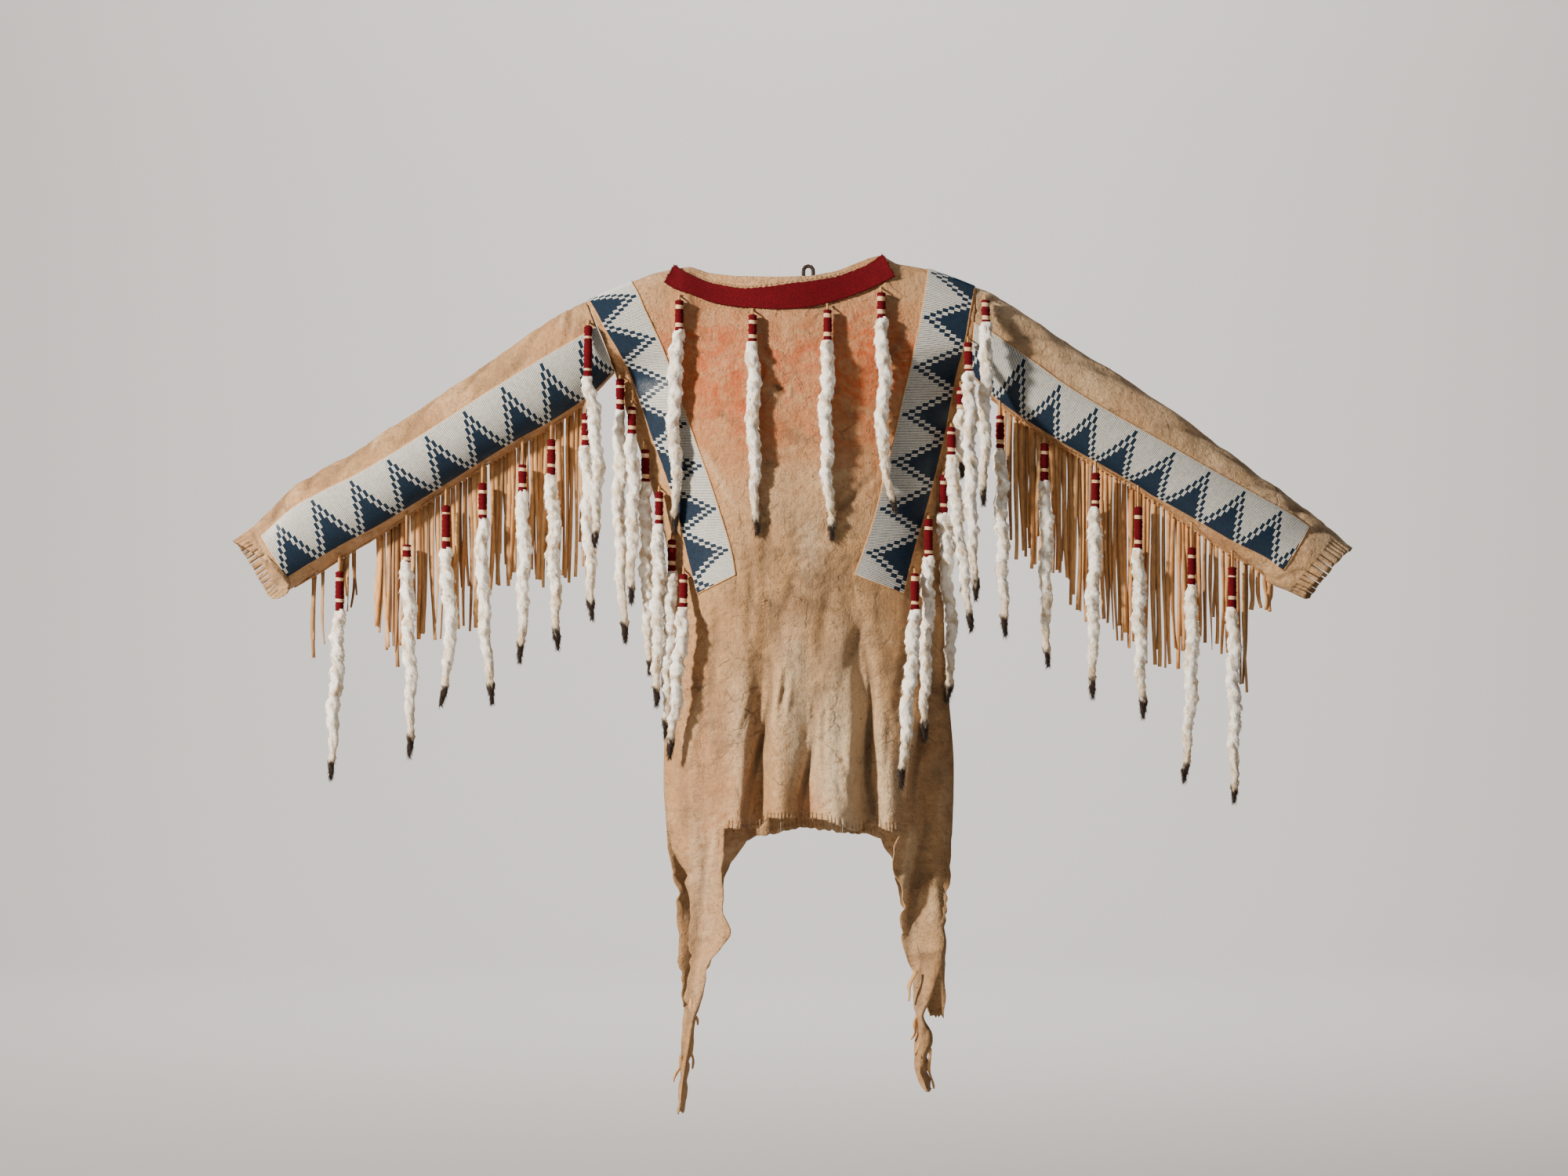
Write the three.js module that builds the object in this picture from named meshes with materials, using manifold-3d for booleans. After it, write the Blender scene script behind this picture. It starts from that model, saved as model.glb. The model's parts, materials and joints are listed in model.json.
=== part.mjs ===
// A Plains war shirt of tanned hide on a plain museum hanger, as it is displayed: two hides joined
// along the shoulders, open at the sides, with separate sleeves, a red wool neck band, four beaded
// strips, fringed sleeve seams and ermine drops. Millimetres, +Z up, the front faces -Y.
// The origin is the top of the inside of the hanger's loop.
import * as THREE from 'three';
import { mergeVertices } from 'three/addons/utils/BufferGeometryUtils.js';
import Module from 'manifold-3d';

const wasm = await Module();
wasm.setup();

// Driving sizes
const HIDE_THICKNESS = 1.6;
const SLEEVE_THICKNESS = 1.5;
const BEAD_THICKNESS = 2.2;
const WOOL_THICKNESS = 2;
const SEAM_GAP = 0.3;
const SHOULDER_STAND_OFF = 0.85;
const UNDERARM_STAND_OFF = 2.4;
const ARMHOLE_DROP = 150;
const ARMHOLE_HALF_DEPTH = 40;
const FULL_BULGE = 90;
const EDGE_SHARPNESS = 3;
const STRIP_CELLS = 3;
const CENTRE_CELLS = 16;
const LAST_STRIP_ROW = 14;
const FIRST_BAND_ROW = 2;
const LAST_BAND_ROW = 5;
const BAND_COLUMNS = [2, 14];
const UPRIGHT_SLOPE = 0.42;
const TAB_CURL_RATE = 90;
const BACK_INNER_SHIFT = { from: 620, over: 170, left: 30, right: -22 };
const MERGE_DISTANCE = 1e-4;
const FLAT_AREA = 1e-6;

const NECK = { left: -168, right: 105, frontDepth: 36, backDepth: 22 };

// The line of the shoulders and the neck, seen from the front
const TOP_LINE = [
  { x: -317, z: -48 }, { x: -290, z: -36 }, { x: -252, z: -20 }, { x: -222, z: -8 },
  { x: -190, z: -1 }, { x: -168, z: 2 }, { x: -141, z: -8 }, { x: -104, z: -13 },
  { x: -44, z: -15 }, { x: 4, z: -13.5 }, { x: 41, z: -5.6 }, { x: 65, z: 4.5 },
  { x: 90, z: 15 }, { x: 105, z: 18 }, { x: 126, z: 6 }, { x: 150, z: 2 },
  { x: 171, z: -2 }, { x: 205, z: -14 }, { x: 240, z: -28 },
];

// One row for each level of a hide. down is measured from the shoulder line. The left and right
// strips run between their outer and inner columns; bulge is the hide's distance from the middle
// plane at the centre, side the same at its edges, rise how much higher the middle of the row lies.
const HIDE_ROWS = [
  { down: 0, left: -317, outerL: -314, innerL: -252, innerR: 171, outerR: 237, right: 240, bulge: 0.85 },
  { down: 3, left: -316, outerL: -313, innerL: -251, innerR: 171, outerR: 237, right: 240, bulge: 8 },
  { down: 9, left: -314, outerL: -310, innerL: -249, innerR: 170, outerR: 236, right: 239, bulge: 17 },
  { down: 20, left: -311, outerL: -306, innerL: -244, innerR: 168, outerR: 234, right: 239, bulge: 28 },
  { down: 34, left: -308, outerL: -301, innerL: -239, innerR: 166, outerR: 232, right: 238, bulge: 36 },
  { down: 52, left: -303, outerL: -295, innerL: -233, innerR: 163, outerR: 229, right: 237, bulge: 43 },
  { down: 82, left: -294, outerL: -284, innerL: -221, innerR: 158, outerR: 225, right: 235, bulge: 51 },
  { down: 115, left: -285, outerL: -269, innerL: -207, innerR: 151, outerR: 219, right: 232, bulge: 57 },
  { down: 150, left: -276, outerL: -254, innerL: -194, innerR: 143, outerR: 211, right: 230, bulge: 62,
    side: 2.4 },
  { down: 190, left: -265, outerL: -240, innerL: -181, innerR: 133, outerR: 203, right: 217, bulge: 67,
    side: 5 },
  { down: 240, left: -247, outerL: -223, innerL: -163, innerR: 122, outerR: 193, right: 209, bulge: 72,
    side: 8 },
  { down: 295, left: -229, outerL: -203, innerL: -143, innerR: 108, outerR: 180, right: 202, bulge: 76,
    side: 11 },
  { down: 350, left: -213, outerL: -185, innerL: -125, innerR: 95, outerR: 165, right: 197, bulge: 79,
    side: 13 },
  { down: 408, left: -200, outerL: -172, innerL: -110, innerR: 79, outerR: 148, right: 194, bulge: 82,
    side: 15, rise: 8 },
  { down: 465, left: -196, outerL: -157, innerL: -103, innerR: 65, outerR: 134, right: 193, bulge: 84,
    side: 16, rise: 27 },
  { down: 525, left: -197, outerL: -161, innerL: -106, innerR: 82, outerR: 143, right: 194, bulge: 86,
    side: 17, rise: 16 },
  { down: 585, left: -200, outerL: -166, innerL: -110, innerR: 96, outerR: 151, right: 197, bulge: 88,
    side: 18, rise: 6 },
  { down: 645, left: -204, outerL: -169, innerL: -113, innerR: 108, outerR: 157, right: 203, bulge: 90,
    side: 18 },
  { down: 700, left: -206, outerL: -171, innerL: -115, innerR: 116, outerR: 161, right: 207, bulge: 92,
    side: 18 },
  { down: 748, left: -206, outerL: -172, innerL: -117, innerR: 123, outerR: 164, right: 207, bulge: 93,
    side: 18 },
  { down: 795, left: -202, outerL: -172, innerL: -119, innerR: 128, outerR: 166, right: 205, bulge: 94,
    side: 18 },
];

// Soft troughs (and, with a negative depth, ridges) that open towards the hem. hemX is where a fold
// meets the hem, topX and from where and how far down it starts, width its half width.
const FRONT_FOLDS = [
  { hemX: -74, topX: -60, from: 430, width: 15, depth: 28 },
  { hemX: -100, topX: -90, from: 470, width: 17, depth: -14 },
  { hemX: -42, topX: -35, from: 470, width: 16, depth: -12 },
  { hemX: -3, topX: 0, from: 500, width: 13, depth: 22 },
  { hemX: 38, topX: 30, from: 470, width: 20, depth: -15 },
  { hemX: 86, topX: 62, from: 400, width: 17, depth: 34 },
  { hemX: 118, topX: 95, from: 470, width: 14, depth: -8 },
  { hemX: 163, topX: 160, from: 480, width: 12, depth: 22 },
  { hemX: -150, topX: -150, from: 470, width: 13, depth: 14 },
];
const BACK_FOLDS = [
  { hemX: -128, topX: -110, from: 430, width: 16, depth: 24 },
  { hemX: -88, topX: -80, from: 470, width: 18, depth: -12 },
  { hemX: -40, topX: -30, from: 400, width: 17, depth: 30 },
  { hemX: 4, topX: 4, from: 470, width: 20, depth: -14 },
  { hemX: 52, topX: 40, from: 450, width: 15, depth: 24 },
  { hemX: 96, topX: 85, from: 480, width: 16, depth: -10 },
  { hemX: 140, topX: 130, from: 430, width: 15, depth: 20 },
];
const FOLD_FULL_LENGTH = 380;

// Uneven hems: how far down the cut edge lies
const FRONT_HEM = [
  { x: -119, down: 796 }, { x: -70, down: 797 }, { x: -58, down: 781 }, { x: 20, down: 782 },
  { x: 70, down: 803 }, { x: 84, down: 790 }, { x: 128, down: 806 },
];
const BACK_HEM = [
  { x: -119, down: 830 }, { x: -80, down: 822 }, { x: -20, down: 806 }, { x: 60, down: 812 },
  { x: 128, down: 824 },
];

// The leg tabs, the uncut legs of the hides, from the hem to their ends
const FRONT_TABS = {
  left: [
    { down: 832, left: -192, right: -120 }, { down: 862, left: -178, right: -122 },
    { down: 905, left: -169, right: -121 }, { down: 941, left: -169, right: -112 },
    { down: 968, left: -170, right: -124 }, { down: 998, left: -172, right: -142 },
    { down: 1032, left: -176, right: -148 }, { down: 1068, left: -179, right: -160 },
    { down: 1110, left: -182, right: -164 }, { down: 1158, left: -185, right: -171 },
    { down: 1204, left: -186, right: -177 },
  ],
  right: [
    { down: 845, left: 113, right: 199 }, { down: 885, left: 133, right: 195 },
    { down: 925, left: 131, right: 192 }, { down: 960, left: 133, right: 190 },
    { down: 990, left: 141, right: 188 }, { down: 1018, left: 149, right: 180 },
    { down: 1060, left: 149, right: 167 }, { down: 1100, left: 151, right: 176 },
    { down: 1140, left: 147, right: 174 }, { down: 1172, left: 165, right: 177 },
  ],
};
const BACK_TABS = {
  left: [
    { down: 858, left: -196, right: -112 }, { down: 900, left: -189, right: -126 },
    { down: 960, left: -187, right: -132 }, { down: 1015, left: -185, right: -146 },
    { down: 1060, left: -181, right: -163 },
  ],
  right: [
    { down: 862, left: 122, right: 204 }, { down: 910, left: 134, right: 201 },
    { down: 970, left: 144, right: 198 }, { down: 1025, left: 156, right: 196 },
    { down: 1076, left: 176, right: 195 },
  ],
};
const TAB_REST_DEPTH = 34;
const TAB_SETTLE = 170;
const TAB_CURL = 12;

// Sleeve sections from the armhole to the cuff: the top and the foot of each section as seen from
// the front, half its depth, and where the beaded strip starts and ends between top and foot.
const LEFT_SLEEVE = [
  { topX: -317, topZ: -48, footX: -276, footZ: -150, depth: 40, stripTop: 0.31, stripFoot: 0.9 },
  { topX: -348, topZ: -63, footX: -309, footZ: -184, depth: 43, stripTop: 0.29, stripFoot: 0.9 },
  { topX: -393, topZ: -90, footX: -362, footZ: -222, depth: 45, stripTop: 0.27, stripFoot: 0.89 },
  { topX: -460, topZ: -137, footX: -427, footZ: -260, depth: 45, stripTop: 0.25, stripFoot: 0.88 },
  { topX: -527, topZ: -183, footX: -488, footZ: -298, depth: 44, stripTop: 0.24, stripFoot: 0.88 },
  { topX: -594, topZ: -228, footX: -550, footZ: -338, depth: 43, stripTop: 0.23, stripFoot: 0.87 },
  { topX: -653, topZ: -266, footX: -608, footZ: -378, depth: 42, stripTop: 0.2, stripFoot: 0.84 },
  { topX: -704, topZ: -293, footX: -655, footZ: -406, depth: 41, stripTop: 0.18, stripFoot: 0.82 },
  { topX: -745, topZ: -321, footX: -697, footZ: -433, depth: 40, stripTop: 0.15, stripFoot: 0.8 },
  { topX: -788, topZ: -366, footX: -734, footZ: -455, depth: 40, stripTop: 0.13, stripFoot: 0.79 },
  { topX: -822, topZ: -390, footX: -769, footZ: -480, depth: 41, stripTop: 0.13, stripFoot: 0.79 },
];
const RIGHT_SLEEVE = [
  { topX: 240, topZ: -28, footX: 230, footZ: -150, depth: 40, stripTop: 0.36, stripFoot: 0.92 },
  { topX: 268, topZ: -40, footX: 261, footZ: -185, depth: 44, stripTop: 0.33, stripFoot: 0.91 },
  { topX: 330, topZ: -80, footX: 302, footZ: -216, depth: 46, stripTop: 0.34, stripFoot: 0.9 },
  { topX: 384, topZ: -116, footX: 352, footZ: -248, depth: 46, stripTop: 0.36, stripFoot: 0.9 },
  { topX: 447, topZ: -155, footX: 408, footZ: -280, depth: 45, stripTop: 0.36, stripFoot: 0.91 },
  { topX: 525, topZ: -208, footX: 469, footZ: -315, depth: 44, stripTop: 0.32, stripFoot: 0.91 },
  { topX: 581, topZ: -249, footX: 531, footZ: -358, depth: 43, stripTop: 0.26, stripFoot: 0.85 },
  { topX: 635, topZ: -289, footX: 592, footZ: -401, depth: 42, stripTop: 0.19, stripFoot: 0.8 },
  { topX: 690, topZ: -329, footX: 643, footZ: -431, depth: 41, stripTop: 0.13, stripFoot: 0.76 },
  { topX: 722, topZ: -354, footX: 663, footZ: -452, depth: 40, stripTop: 0.1, stripFoot: 0.72 },
  { topX: 777, topZ: -400, footX: 716, footZ: -477, depth: 41, stripTop: 0.1, stripFoot: 0.72 },
];
const LAST_SLEEVE_STRIP_SECTION = 9;
const CUFF_CUTBACK = { left: 40, right: 14 };
const SLEEVE_START_GAP = 0.5;
const SLEEVE_BACK_CELLS = 6;
const CUFF_CUT = { deepest: 130, end: 230 };

// Fringe strands on the seams under the sleeves: x is where a run of strands starts and ends,
// length how far they hang at both ends of the run, count how many there are.
const LEFT_FRINGE = [
  { from: -706, to: -694, lengthFrom: 132, lengthTo: 110, count: 2 },
  { from: -668, to: -648, lengthFrom: 78, lengthTo: 92, count: 3 },
  { from: -612, to: -588, lengthFrom: 150, lengthTo: 205, count: 5 },
  { from: -578, to: -545, lengthFrom: 205, lengthTo: 210, count: 6 },
  { from: -536, to: -500, lengthFrom: 205, lengthTo: 222, count: 6 },
  { from: -490, to: -462, lengthFrom: 232, lengthTo: 214, count: 5 },
  { from: -452, to: -402, lengthFrom: 190, lengthTo: 200, count: 9 },
  { from: -394, to: -352, lengthFrom: 216, lengthTo: 240, count: 8 },
  { from: -344, to: -318, lengthFrom: 246, lengthTo: 268, count: 5 },
];
const RIGHT_FRINGE = [
  { from: 274, to: 296, lengthFrom: 190, lengthTo: 204, count: 4 },
  { from: 304, to: 334, lengthFrom: 200, lengthTo: 206, count: 6 },
  { from: 342, to: 366, lengthFrom: 194, lengthTo: 212, count: 5 },
  { from: 374, to: 404, lengthFrom: 226, lengthTo: 236, count: 6 },
  { from: 412, to: 452, lengthFrom: 228, lengthTo: 246, count: 7 },
  { from: 460, to: 500, lengthFrom: 236, lengthTo: 240, count: 7 },
  { from: 508, to: 548, lengthFrom: 232, lengthTo: 200, count: 7 },
  { from: 558, to: 600, lengthFrom: 166, lengthTo: 150, count: 6 },
  { from: 606, to: 622, lengthFrom: 200, lengthTo: 196, count: 3 },
  { from: 634, to: 660, lengthFrom: 66, lengthTo: 46, count: 4 },
];
const FRINGE = { backingHeight: 6, backingDepth: 3, strandDepth: 1.6, root: 3, extraGap: 0.4,
  levels: [0, 0.5, 1] };
// How a strand's width, length and lie wander from one to the next
const STRAND = { turn: 2.4, width: 2.2, widthWander: 0.9, widthRate: 1.7, shortest: 0.94, lengthWander: 0.06,
  lengthRate: 3.1, sway: 1.6, swayRate: 3, lean: 1.5, taper: 0.45 };
const FRINGE_SECTION_REACH = 9;

// Ermine drops: x and wrapTop, wrapFoot and tip say where the red wool wrap and the fur hang, bend
// how far the fur strays from x at a third, two thirds and the whole of its length, layer which
// ones lie over their neighbours. onSeam marks those that hang from a sleeve's lower seam, head says
// where the head is when it isn't just above the wrap.
const DROPS = [
  { name: 'neck_1', x: -183, wrapTop: -46, wrapFoot: -95, tip: -379, bend: [-9, -4, -6] },
  { name: 'neck_2', x: -79, wrapTop: -67, wrapFoot: -113, tip: -382, bend: [1, 2, 6] },
  { name: 'neck_3', x: 27, wrapTop: -60, wrapFoot: -111, tip: -390, bend: [-3, -1, 7] },
  { name: 'neck_4', x: 103, wrapTop: -35, wrapFoot: -77, tip: -351, bend: [4, -1, 20] },
  { name: 'sleeve_left_1', x: -312, head: -77, wrapTop: -82, wrapFoot: -162, tip: -399,
    bend: [12, 13, 9], layer: 1 },
  { name: 'sleeve_left_2', onSeam: true, x: -317, wrapTop: -205, wrapFoot: -258, tip: -502, bend: [4, 6, 9] },
  { name: 'sleeve_left_3', onSeam: true, x: -366, wrapTop: -242, wrapFoot: -297, tip: -544, bend: [3, 5, 9] },
  { name: 'sleeve_left_4', onSeam: true, x: -407, wrapTop: -278, wrapFoot: -321, tip: -563,
    bend: [2, 1, -4] },
  { name: 'sleeve_left_5', onSeam: true, x: -464, wrapTop: -304, wrapFoot: -361, tip: -622,
    bend: [0, 5, 14] },
  { name: 'sleeve_left_6', onSeam: true, x: -516, wrapTop: -336, wrapFoot: -403, tip: -625,
    bend: [5, 6, -8] },
  { name: 'sleeve_left_7', onSeam: true, x: -572, wrapTop: -392, wrapFoot: -421, tip: -698, bend: [3, 6, 4] },
  { name: 'sleeve_left_8', onSeam: true, x: -668, wrapTop: -430, wrapFoot: -491, tip: -729,
    bend: [-4, -9, -12] },
  { name: 'strip_left_1', x: -268, wrapTop: -156, wrapFoot: -206, tip: -535, bend: [-2, 0, 7] },
  { name: 'strip_left_2', x: -251, wrapTop: -196, wrapFoot: -242, tip: -479, bend: [2, 0, -1],
    layer: 1 },
  { name: 'strip_left_3', x: -232, wrapTop: -257, wrapFoot: -309, tip: -580, bend: [1, 3, 6] },
  { name: 'strip_left_4', x: -212, wrapTop: -317, wrapFoot: -370, tip: -625, bend: [-1, -3, -4],
    layer: 1 },
  { name: 'strip_left_5', x: -194, wrapTop: -385, wrapFoot: -436, tip: -670, bend: [-3, -6, -9] },
  { name: 'strip_left_6', x: -177, wrapTop: -434, wrapFoot: -488, tip: -698, bend: [-6, -12, -20],
    layer: 1 },
  { name: 'sleeve_right_1', x: 251, head: -40, wrapTop: -45, wrapFoot: -85, tip: -339,
    bend: [-2, -1, -3], layer: 1 },
  { name: 'sleeve_right_2', x: 226, wrapTop: -106, wrapFoot: -155, tip: -474, bend: [2, 4, 10],
    layer: 2 },
  { name: 'sleeve_right_3', onSeam: true, x: 273, wrapTop: -208, wrapFoot: -262, tip: -526, bend: [2, 4, 8] },
  { name: 'sleeve_right_4', onSeam: true, x: 336, wrapTop: -248, wrapFoot: -307, tip: -569, bend: [4, 1, 5] },
  { name: 'sleeve_right_5', onSeam: true, x: 409, wrapTop: -290, wrapFoot: -345, tip: -614,
    bend: [-2, -4, -4] },
  { name: 'sleeve_right_6', onSeam: true, x: 470, wrapTop: -338, wrapFoot: -404, tip: -642, bend: [1, 3, 7] },
  { name: 'sleeve_right_7', onSeam: true, x: 546, wrapTop: -396, wrapFoot: -454, tip: -734,
    bend: [1, -3, -11] },
  { name: 'sleeve_right_8', onSeam: true, x: 604, wrapTop: -424, wrapFoot: -488, tip: -763, bend: [2, 3, 3] },
  { name: 'strip_right_1', x: 217, wrapTop: -168, wrapFoot: -206, tip: -300, bend: [1, 1, 2] },
  { name: 'strip_right_2', x: 203, wrapTop: -225, wrapFoot: -272, tip: -519, bend: [7, 18, 28],
    layer: 1 },
  { name: 'strip_right_3', x: 192, wrapTop: -293, wrapFoot: -353, tip: -619, bend: [5, 12, 6] },
  { name: 'strip_right_4', x: 170, wrapTop: -356, wrapFoot: -415, tip: -675, bend: [-2, -6, -6] },
  { name: 'strip_right_5', x: 150, wrapTop: -433, wrapFoot: -491, tip: -737, bend: [-7, -14, -20],
    layer: 1 },
];
const DROP = { sides: 6, thongRadius: 1.7, wrapRadius: 6, seatGap: 0.3, clearance: 1.6, layerStep: 20,
  headAboveWrap: 6, headLength: 2.5, seamInset: 5, wrapEase: 3, sideReach: 2, levelReach: 14, layerEase: 20 };

// Fur radius along a drop, from the wrap at 0 to the tip of the tail at 1
const FUR_ROWS = [
  { at: 0.03, radius: 9 }, { at: 0.2, radius: 10 }, { at: 0.4, radius: 9.5 }, { at: 0.6, radius: 9 },
  { at: 0.76, radius: 7 }, { at: 0.88, radius: 4.8 }, { at: 1, radius: 1.2 },
];

// The hanger's rod and loop
const ROD_RADIUS = 6;
const ROD_SIDES = 8;
const ROD_STEPS = 34;
const ROD_LINE = [
  { x: -588, z: -236.5 }, { x: -521, z: -191.5 }, { x: -454, z: -146 }, { x: -388, z: -99 },
  { x: -343, z: -72.5 }, { x: -312, z: -57 }, { x: -250, z: -31 }, { x: -190, z: -27 },
  { x: -95, z: -31 }, { x: 0, z: -32 }, { x: 70, z: -27 }, { x: 120, z: -15 }, { x: 171, z: -12.5 },
  { x: 205, z: -23.5 }, { x: 237, z: -37.5 }, { x: 264, z: -50 }, { x: 325, z: -89 }, { x: 379, z: -125.5 },
  { x: 442, z: -164 }, { x: 519, z: -217 },
];
const LOOP = { wireRadius: 3, halfWidth: 7, foot: -32, sides: 8, steps: 18, legPoints: 4, arcPoints: 8 };

// Plain helpers
const clamp01 = (value) => Math.min(1, Math.max(0, value));
const mix = (a, b, t) => a + (b - a) * t;
const smooth = (value) => clamp01(value) ** 2 * (3 - 2 * clamp01(value));

// Reads a column of a table at a value of its key column, straight between the rows
function read(table, key, value, column) {
  const rising = table[table.length - 1][key] > table[0][key];
  const last = table.length - 2;
  let index = table.findIndex((row, i) => i <= last
    && (rising ? value <= table[i + 1][key] : value >= table[i + 1][key]));
  if (index < 0) index = last;
  const a = table[index];
  const b = table[index + 1];
  return mix(a[column], b[column], clamp01((value - a[key]) / (b[key] - a[key])));
}

const topLine = (x) => read(TOP_LINE, 'x', x, 'z');

// How far a hide's edge lies from the middle plane: round the armhole, then along the open side
const OPEN_SIDE_ROWS = HIDE_ROWS.filter((row) => row.down >= ARMHOLE_DROP);

function sideDepth(down) {
  if (down >= ARMHOLE_DROP) return read(OPEN_SIDE_ROWS, 'down', down, 'side');
  const height = 1 - 2 * down / ARMHOLE_DROP;
  const least = height > 0 ? SHOULDER_STAND_OFF : UNDERARM_STAND_OFF;
  return Math.max(least, ARMHOLE_HALF_DEPTH * Math.sqrt(1 - height * height));
}

function neckWave(x) {
  const along = (x - NECK.left) / (NECK.right - NECK.left);
  return along <= 0 || along >= 1 ? 0 : Math.sin(Math.PI * along);
}

function foldDepth(folds, x, down) {
  let sum = 0;
  for (const fold of folds) {
    const grow = smooth((down - fold.from) / FOLD_FULL_LENGTH);
    const middle = mix(fold.topX, fold.hemX, clamp01((down - fold.from) / FOLD_FULL_LENGTH));
    sum += fold.depth * grow * Math.exp(-(((x - middle) / fold.width) ** 2));
  }
  return sum;
}

// Distance of a hide from the middle plane at a point of the front view
function hideDepth(side, x, down) {
  const column = (name) => read(HIDE_ROWS, 'down', down, name);
  const left = column('left');
  const right = column('right');
  const across = clamp01((x - left) / (right - left));
  const wave = neckWave(x);
  const neckDepth = wave * (side === 'front' ? NECK.frontDepth : NECK.backDepth);
  const upright = Math.min(column('bulge'), down * UPRIGHT_SLOPE);
  const round = mix(column('bulge'), upright, Math.sqrt(wave));
  const centre = neckDepth + round * (1 - neckDepth / FULL_BULGE);
  const edge = sideDepth(down);
  const inward = Math.abs(2 * across - 1) ** EDGE_SHARPNESS;
  const folds = side === 'front' ? FRONT_FOLDS : BACK_FOLDS;
  return mix(centre, edge, inward) - foldDepth(folds, x, down) * (1 - inward);
}

const heightOf = (x, down) => -down + topLine(x) * Math.max(0, 1 - down / ARMHOLE_DROP);

// A wall over a grid of points: present(row, column) says which cells are there, facing is 1 where
// rows x columns already face outwards, offset moves the outer face off the points, and a closed
// grid joins its last column to its first. Both faces of the wall split each cell the same way.
function wall(grid, thickness, { present = () => true, facing, offset = 0, closed = false }) {
  const rows = grid.length;
  const columns = grid[0].length;
  const cells = closed ? columns : columns - 1;
  const inside = (r, c) => r >= 0 && r < rows - 1 && (closed || (c >= 0 && c < cells));
  const cell = (r, c) => inside(r, c) && present(r, (c + columns) % columns);
  const cornersOf = (r, c) => [[r, c], [r, (c + 1) % columns], [r + 1, (c + 1) % columns], [r + 1, c]];
  const normals = grid.map((row) => row.map(() => new THREE.Vector3()));
  const found = [];
  for (let r = 0; r < rows - 1; r += 1) {
    for (let c = 0; c < cells; c += 1) {
      if (!cell(r, c)) continue;
      const corners = cornersOf(r, c);
      const [a, b, d, e] = corners.map(([i, j]) => grid[i][j]);
      const normal = d.clone().sub(a).cross(e.clone().sub(b)).normalize().multiplyScalar(facing);
      corners.forEach(([i, j]) => normals[i][j].add(normal));
      found.push({ r, c, corners });
    }
  }
  const vertices = [];
  grid.forEach((row, r) => row.forEach((point, c) => {
    const normal = normals[r][c].normalize();
    vertices.push(point.clone().addScaledVector(normal, offset));
    vertices.push(point.clone().addScaledVector(normal, offset - thickness));
  }));
  const at = ([r, c], inner) => 2 * (r * columns + c) + inner;
  const faces = [];
  const quad = (a, b, c, d) => (facing > 0 ? faces.push(a, b, c, a, c, d) : faces.push(a, c, b, a, d, c));
  for (const { r, c, corners } of found) {
    const outer = corners.map((corner) => at(corner, 0));
    const inner = corners.map((corner) => at(corner, 1));
    quad(outer[0], outer[1], outer[2], outer[3]);
    faces.push(...(facing > 0 ? [0, 2, 1, 0, 3, 2] : [0, 1, 2, 0, 2, 3]).map((k) => inner[k]));
    [[r - 1, c], [r, c + 1], [r + 1, c], [r, c - 1]].forEach(([i, j], k) => {
      if (cell(i, j)) return;
      const next = (k + 1) % 4;
      quad(outer[next], outer[k], inner[k], inner[next]);
    });
  }
  return geometryOf(vertices, faces);
}

function geometryOf(vertices, faces) {
  const geometry = new THREE.BufferGeometry();
  const flat = vertices.flatMap((v) => [v.x, v.y, v.z]);
  geometry.setAttribute('position', new THREE.Float32BufferAttribute(flat, 3));
  geometry.setIndex(faces);
  return geometry;
}

// A closed tube through rings of equally many points, with flat ends
function tube(rings) {
  const sides = rings[0].length;
  const vertices = rings.flat();
  const faces = [];
  for (let r = 0; r < rings.length - 1; r += 1) {
    for (let s = 0; s < sides; s += 1) {
      const a = r * sides + s;
      const b = r * sides + (s + 1) % sides;
      faces.push(a, b, b + sides, a, b + sides, a + sides);
    }
  }
  const lastRing = (rings.length - 1) * sides;
  for (let s = 1; s < sides - 1; s += 1) {
    faces.push(0, s + 1, s);
    faces.push(lastRing, lastRing + s, lastRing + s + 1);
  }
  return geometryOf(vertices, faces);
}

function toManifold(geometry) {
  const bare = geometry.clone();
  bare.deleteAttribute('normal');
  bare.deleteAttribute('uv');
  const merged = mergeVertices(bare, MERGE_DISTANCE);
  return new wasm.Manifold(new wasm.Mesh({
    numProp: 3,
    vertProperties: Float32Array.from(merged.attributes.position.array),
    triVerts: Uint32Array.from(merged.index.array),
  }));
}

function fromManifold(solid) {
  const mesh = solid.getMesh();
  const geometry = new THREE.BufferGeometry();
  geometry.setAttribute('position', new THREE.Float32BufferAttribute(mesh.vertProperties, 3));
  geometry.setIndex(Array.from(mesh.triVerts));
  return geometry;
}

const joined = (geometries) => fromManifold(geometries.map(toManifold).reduce((a, b) => a.add(b)));

// The hides
function hideColumns(row, innerShift) {
  const innerLeft = row.innerL + innerShift.left;
  const innerRight = row.innerR + innerShift.right;
  const columns = [row.left];
  for (let i = 0; i < STRIP_CELLS; i += 1) columns.push(mix(row.outerL, innerLeft, i / STRIP_CELLS));
  for (let i = 0; i < CENTRE_CELLS; i += 1) columns.push(mix(innerLeft, innerRight, i / CENTRE_CELLS));
  for (let i = 0; i <= STRIP_CELLS; i += 1) columns.push(mix(innerRight, row.outerR, i / STRIP_CELLS));
  columns.push(row.right);
  return columns;
}

const LEFT_INNER = 1 + STRIP_CELLS;
const RIGHT_INNER = LEFT_INNER + CENTRE_CELLS;
const LAST_COLUMN = RIGHT_INNER + STRIP_CELLS + 1;

// The middle of a row lies higher by its rise, eased in over the strips
function riseShare(column) {
  return clamp01(Math.min(column - 1, LAST_COLUMN - 1 - column) / STRIP_CELLS);
}

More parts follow.
